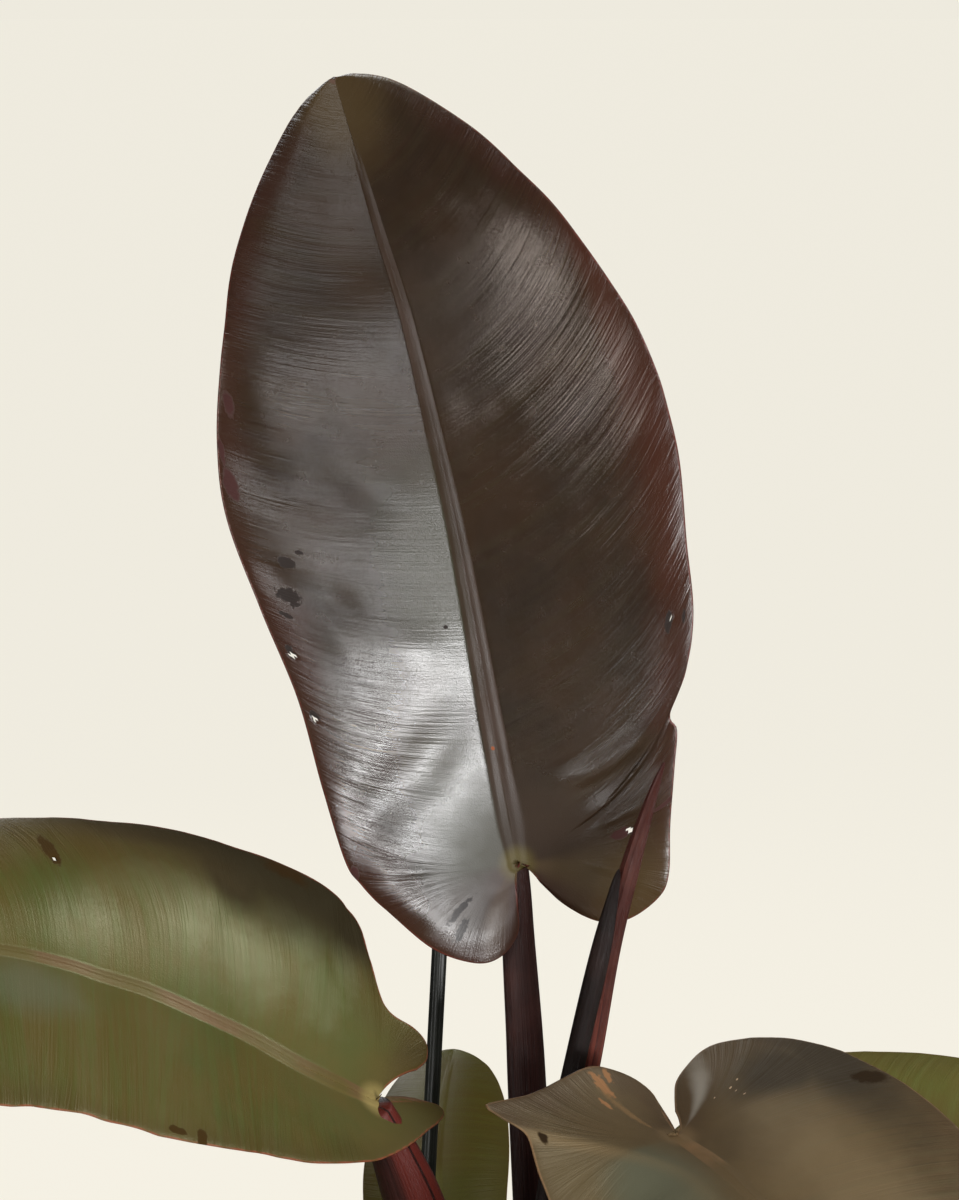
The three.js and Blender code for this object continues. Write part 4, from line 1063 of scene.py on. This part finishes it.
def make_stalks():
    purple = stalk_material("purple_stalk", "#3a211d", "#4a2a25", "#2a1613")
    # The red stalks carry a painted highlight along one side
    red = stalk_material("red_stalk", "#301a17", "#42211c", "#241412", lit_side_tone="#5c221b")
    for name, form in LEAVES.items():
        path = list(form["petiole"])
        if name != "main":
            point, _, up, _ = Blade(form).frame(0.0, 1)
            path.append((*(point - up * PETIOLE_DROP), path[-1][3] * 0.8))
        is_purple = name in ("main", "right_front")
        slot, material = ("purple_stalk", purple) if is_purple else ("red_stalk", red)
        make_tube(f"{name}_petiole", slot, f"{name}_leaf_petiole", material, path,
                  oval(0.78, 14, 0.012), steps=(40, 90), ends=(3, 1.5))


def make_new_leaf():
    red_brown = stalk_material("new_leaf", "#803f32", "#a56452", "#3a1a15", rough=0.34, turns=12,
                               dark_end=(0.52, 0.76))
    path = [(1, -5, 146, 4.2), (0.6, -7, 190, 4), (6, -8, 232, 3.6), (13.1, -9, 264, 3.4),
            (18.9, -12, 297.8, 3.1), (24.4, -14, 321, 2.7), (30, -15.3, 340.5, 1.5),
            (33.3, -16, 350.3, 0.4)]

    def rolled(angle, t):
        """One turn of a rolled sheet: its edge makes a step along the front."""
        turn = np.mod(angle + math.pi / 2 - SPEAR_EDGE, 2 * math.pi) / (2 * math.pi)
        reach = 0.86 + 0.2 * turn - 0.06 * smooth(0.97, 1.0, turn) + 0.02 * np.cos(11 * angle)
        return reach * np.cos(angle), reach * np.sin(angle)

    make_tube("new_leaf_spear", "new_leaf", "rolled_new_leaf", red_brown, path, rolled,
              steps=(96, 150), ends=(3, 1.5))

    dark = stalk_material("sheath", "#1c0f0c", "#2c1a15", "#120907", rough=0.48)
    path = [(-2, -10.5, 146, 3.2), (-2.5, -12.5, 190, 3.2), (2.5, -13.8, 232, 3),
            (9.2, -14.8, 265.7, 2.9), (16.4, -17.7, 299, 2.7), (21.2, -16.2, 321, 0.8)]
    make_tube("new_leaf_sheath_skin", "sheath", "new_leaf_sheath", dark, path, oval(1.0, 9, 0.02),
              steps=(48, 110), ends=(3, 4))


def make_stake():
    path = [(*STAKE_FOOT, STAKE_RADIUS), (*STAKE_TOP, STAKE_RADIUS)]
    make_tube("stake_rod", "stake", "support_stake", stake_material(), path, oval(1.0, 9, 0.035),
              steps=(72, 60), ends=(4, 1.6))


def make_stem():
    path = [(0, 0, STEM_FOOT, STEM_RADIUS), (0, 0, SOIL_LEVEL, STEM_RADIUS), (0, 0, 136, STEM_RADIUS - 0.5),
            (0, 0, 150, STEM_RADIUS - 2.5), (0, 0, STEM_TOP, 7)]

    def scarred(angle, t):
        """Round, with the rings that old leaves leave."""
        scar = 0.06 * np.exp(-((np.mod(t * 8 + 0.25 * np.sin(angle), 1) - 0.5) / 0.12) ** 2)
        return (0.97 + scar) * np.cos(angle), (0.97 + scar) * np.sin(angle)

    bark = stalk_material("stem_bark", "#4a3a24", "#6a5636", "#2c2014", rough=0.7, turns=14)
    make_tube("stem_bark_piece", "stem", "stem", bark, path, scarred, steps=(64, 90), ends=(2, 5))


def uneven(x, y):
    """Height of the soil over its level: broad swells and three sets of small lumps."""
    rise = 1.6 * np.sin(0.19 * x + 0.7) * np.cos(0.16 * y) + 1.1 * np.sin(0.41 * y - 0.23 * x)
    for pitch, height, turn in ((7.3, 0.45, 0.5), (4.1, 0.3, 1.9), (2.7, 0.2, 2.8)):
        across = x * math.cos(turn) + y * math.sin(turn)
        rise = rise + height * np.sin(2 * math.pi * across / pitch) * np.cos(
            2 * math.pi * (y * math.cos(turn) - x * math.sin(turn)) / (pitch * 1.3))
    return rise


def make_soil():
    edge = INNER_RIM - SOIL_EDGE_GAP
    foot = POT_FLOOR + POT_GAP
    profile = [(0, foot), (INNER_BASE - POT_GAP, foot), (edge, SOIL_LEVEL - 1)]
    profile += [(radius, SOIL_LEVEL) for radius in np.linspace(edge, 0, SOIL_RINGS)[1:]]

    def roughen(points):
        top = points[:, 2] > SOIL_LEVEL - 0.5
        points[top, 2] += uneven(points[top, 0], points[top, 1])
        return points

    points, quads = lathe(profile, SOIL_SIDES, roughen)
    all_points = [points]
    all_quads = [quads]
    slots = [np.zeros(len(quads), int)]
    random = np.random.default_rng(SOIL_SEED)
    cube = np.array([[x, y, z] for x in (-1, 1) for y in (-1, 1) for z in (-1, 1)], float)
    sides = np.array([[0, 1, 3, 2], [4, 6, 7, 5], [0, 4, 5, 1], [2, 3, 7, 6], [0, 2, 6, 4], [1, 5, 7, 3]])
    count = len(points)
    for kind, number, sizes in CHIPS:
        for _ in range(number):
            radius = (edge - 3) * math.sqrt(random.uniform(0.05, 1))
            turn = random.uniform(0, 2 * math.pi)
            x, y = radius * math.cos(turn), radius * math.sin(turn)
            size = np.array(sizes) * random.uniform(0.5, 1.4)
            chip = cube * size * random.uniform(0.7, 1.1, (8, 3))
            # The unit matrix in the draw keeps a chip's turn near to lying flat
            turns = np.linalg.qr(random.normal(size=(3, 3)) + 2.5 * np.eye(3))[0]
            chip = chip @ turns + (x, y, SOIL_LEVEL + float(uneven(x, y)) + 0.3)
            all_points.append(chip)
            all_quads.append(turn_outward(chip, sides) + count)
            slots.append(np.full(len(sides), kind))
            count += len(cube)
    soil = make_mesh("soil_top", np.vstack(all_points), np.vstack(all_quads),
                     [soil_material(), bark_material(), perlite_material()], np.concatenate(slots))
    dress(soil, "soil", "soil")


def arc(centre, radius, start, end, steps):
    """Points of a circle, from one angle in degrees to another."""
    turns = np.radians(np.linspace(start, end, steps))
    return [(centre[0] + radius * math.cos(a), centre[1] + radius * math.sin(a)) for a in turns]


def between(start, end, steps):
    return [tuple(p) for p in np.linspace(start, end, steps + 1)[1:-1]]


def make_pot():
    foot = arc((POT_BASE_RADIUS - FOOT_ROUND, FOOT_ROUND), FOOT_ROUND, -90, -10, 7)
    rim = arc((POT_RIM_RADIUS - POT_WALL / 2, POT_HEIGHT - POT_WALL / 2), POT_WALL / 2, 0, 180, 13)
    corner = arc((INNER_BASE - INNER_ROUND, POT_FLOOR + INNER_ROUND), INNER_ROUND, 0, -90, 6)
    profile = ([(0, FOOT_RECESS), (FOOT_INSIDE - 1.5, FOOT_RECESS), (FOOT_INSIDE, 0)] + foot
               + between(foot[-1], rim[0], 40) + rim + between(rim[-1], corner[0], 12) + corner
               + [(0, POT_FLOOR)])

    def thrown(points):
        """Faint rings, as left by hands on a wheel."""
        radius = np.hypot(points[:, 0], points[:, 1])
        ring = 0.09 * np.sin(points[:, 2] * 1.1 + 0.4 * np.sin(np.arctan2(points[:, 1], points[:, 0])))
        grow = np.where(radius > INNER_BASE - 1, 1 + ring / np.maximum(radius, 1), 1)
        points[:, :2] *= grow[:, None]
        return points

    points, quads = lathe(profile, POT_SIDES, thrown)
    dress(make_mesh("stoneware_pot", points, quads, [pot_material()]), "pot", "pot")


# Studio

def make_studio():
    mesh = bpy.data.meshes.new("floor")
    corners = [(-1, -1, 0), (1, -1, 0), (1, 1, 0), (-1, 1, 0)]
    mesh.from_pydata([(x * FLOOR_REACH, y * FLOOR_REACH, z) for x, y, z in corners], [], [(0, 1, 2, 3)])
    mesh.materials.append(floor_material())
    floor = link(bpy.data.objects.new("floor", mesh))
    floor.visible_glossy = False
    floor.visible_diffuse = False
    floor.visible_shadow = False

    world = bpy.data.worlds.new("studio")
    bpy.context.scene.world = world
    world.use_nodes = True
    tree = world.node_tree
    ray = tree.nodes.new("ShaderNodeLightPath")
    mix = tree.nodes.new("ShaderNodeMix")
    mix.data_type = "RGBA"
    mix.inputs[6].default_value = ROOM_LIGHT
    mix.inputs[7].default_value = colour(BACKDROP)
    tree.links.new(ray.outputs["Is Camera Ray"], mix.inputs[0])
    tree.links.new(mix.outputs[2], tree.nodes["Background"].inputs["Color"])

    for name, (azimuth, elevation, distance, (wide, tall), power, tint) in LAMPS.items():
        lamp = bpy.data.lights.new(name, "AREA")
        lamp.shape = "RECTANGLE"
        lamp.size = wide
        lamp.size_y = tall
        lamp.energy = power
        lamp.color = colour(tint)[:3]
        obj = link(bpy.data.objects.new(name, lamp))
        turn, rise = math.radians(azimuth), math.radians(elevation)
        away = np.array([math.sin(turn) * math.cos(rise), -math.cos(turn) * math.cos(rise), math.sin(rise)])
        obj.location = np.array(LAMP_AIM) + away * distance
        obj.rotation_euler = (math.pi / 2 - rise, 0, turn)
        obj.visible_camera = False
        obj.visible_glossy = not name.endswith("fill")


def make_camera():
    """The photograph's view, from the front and a little above."""
    down = math.radians(VIEW_DOWN)
    data = bpy.data.cameras.new("camera")
    data.sensor_width = SENSOR_WIDTH
    data.lens = LENS
    camera = link(bpy.data.objects.new("camera", data))
    camera.location = np.array(VIEW_AIM) + VIEW_DISTANCE * np.array([0, -math.cos(down), math.sin(down)])
    camera.rotation_euler = (math.pi / 2 - down, 0, 0)
    bpy.context.scene.camera = camera


make_camera()
make_studio()
make_leaves()
make_stalks()
make_new_leaf()
make_stake()
make_stem()
make_soil()
make_pot()

bpy.context.scene.view_settings.view_transform = "Standard"
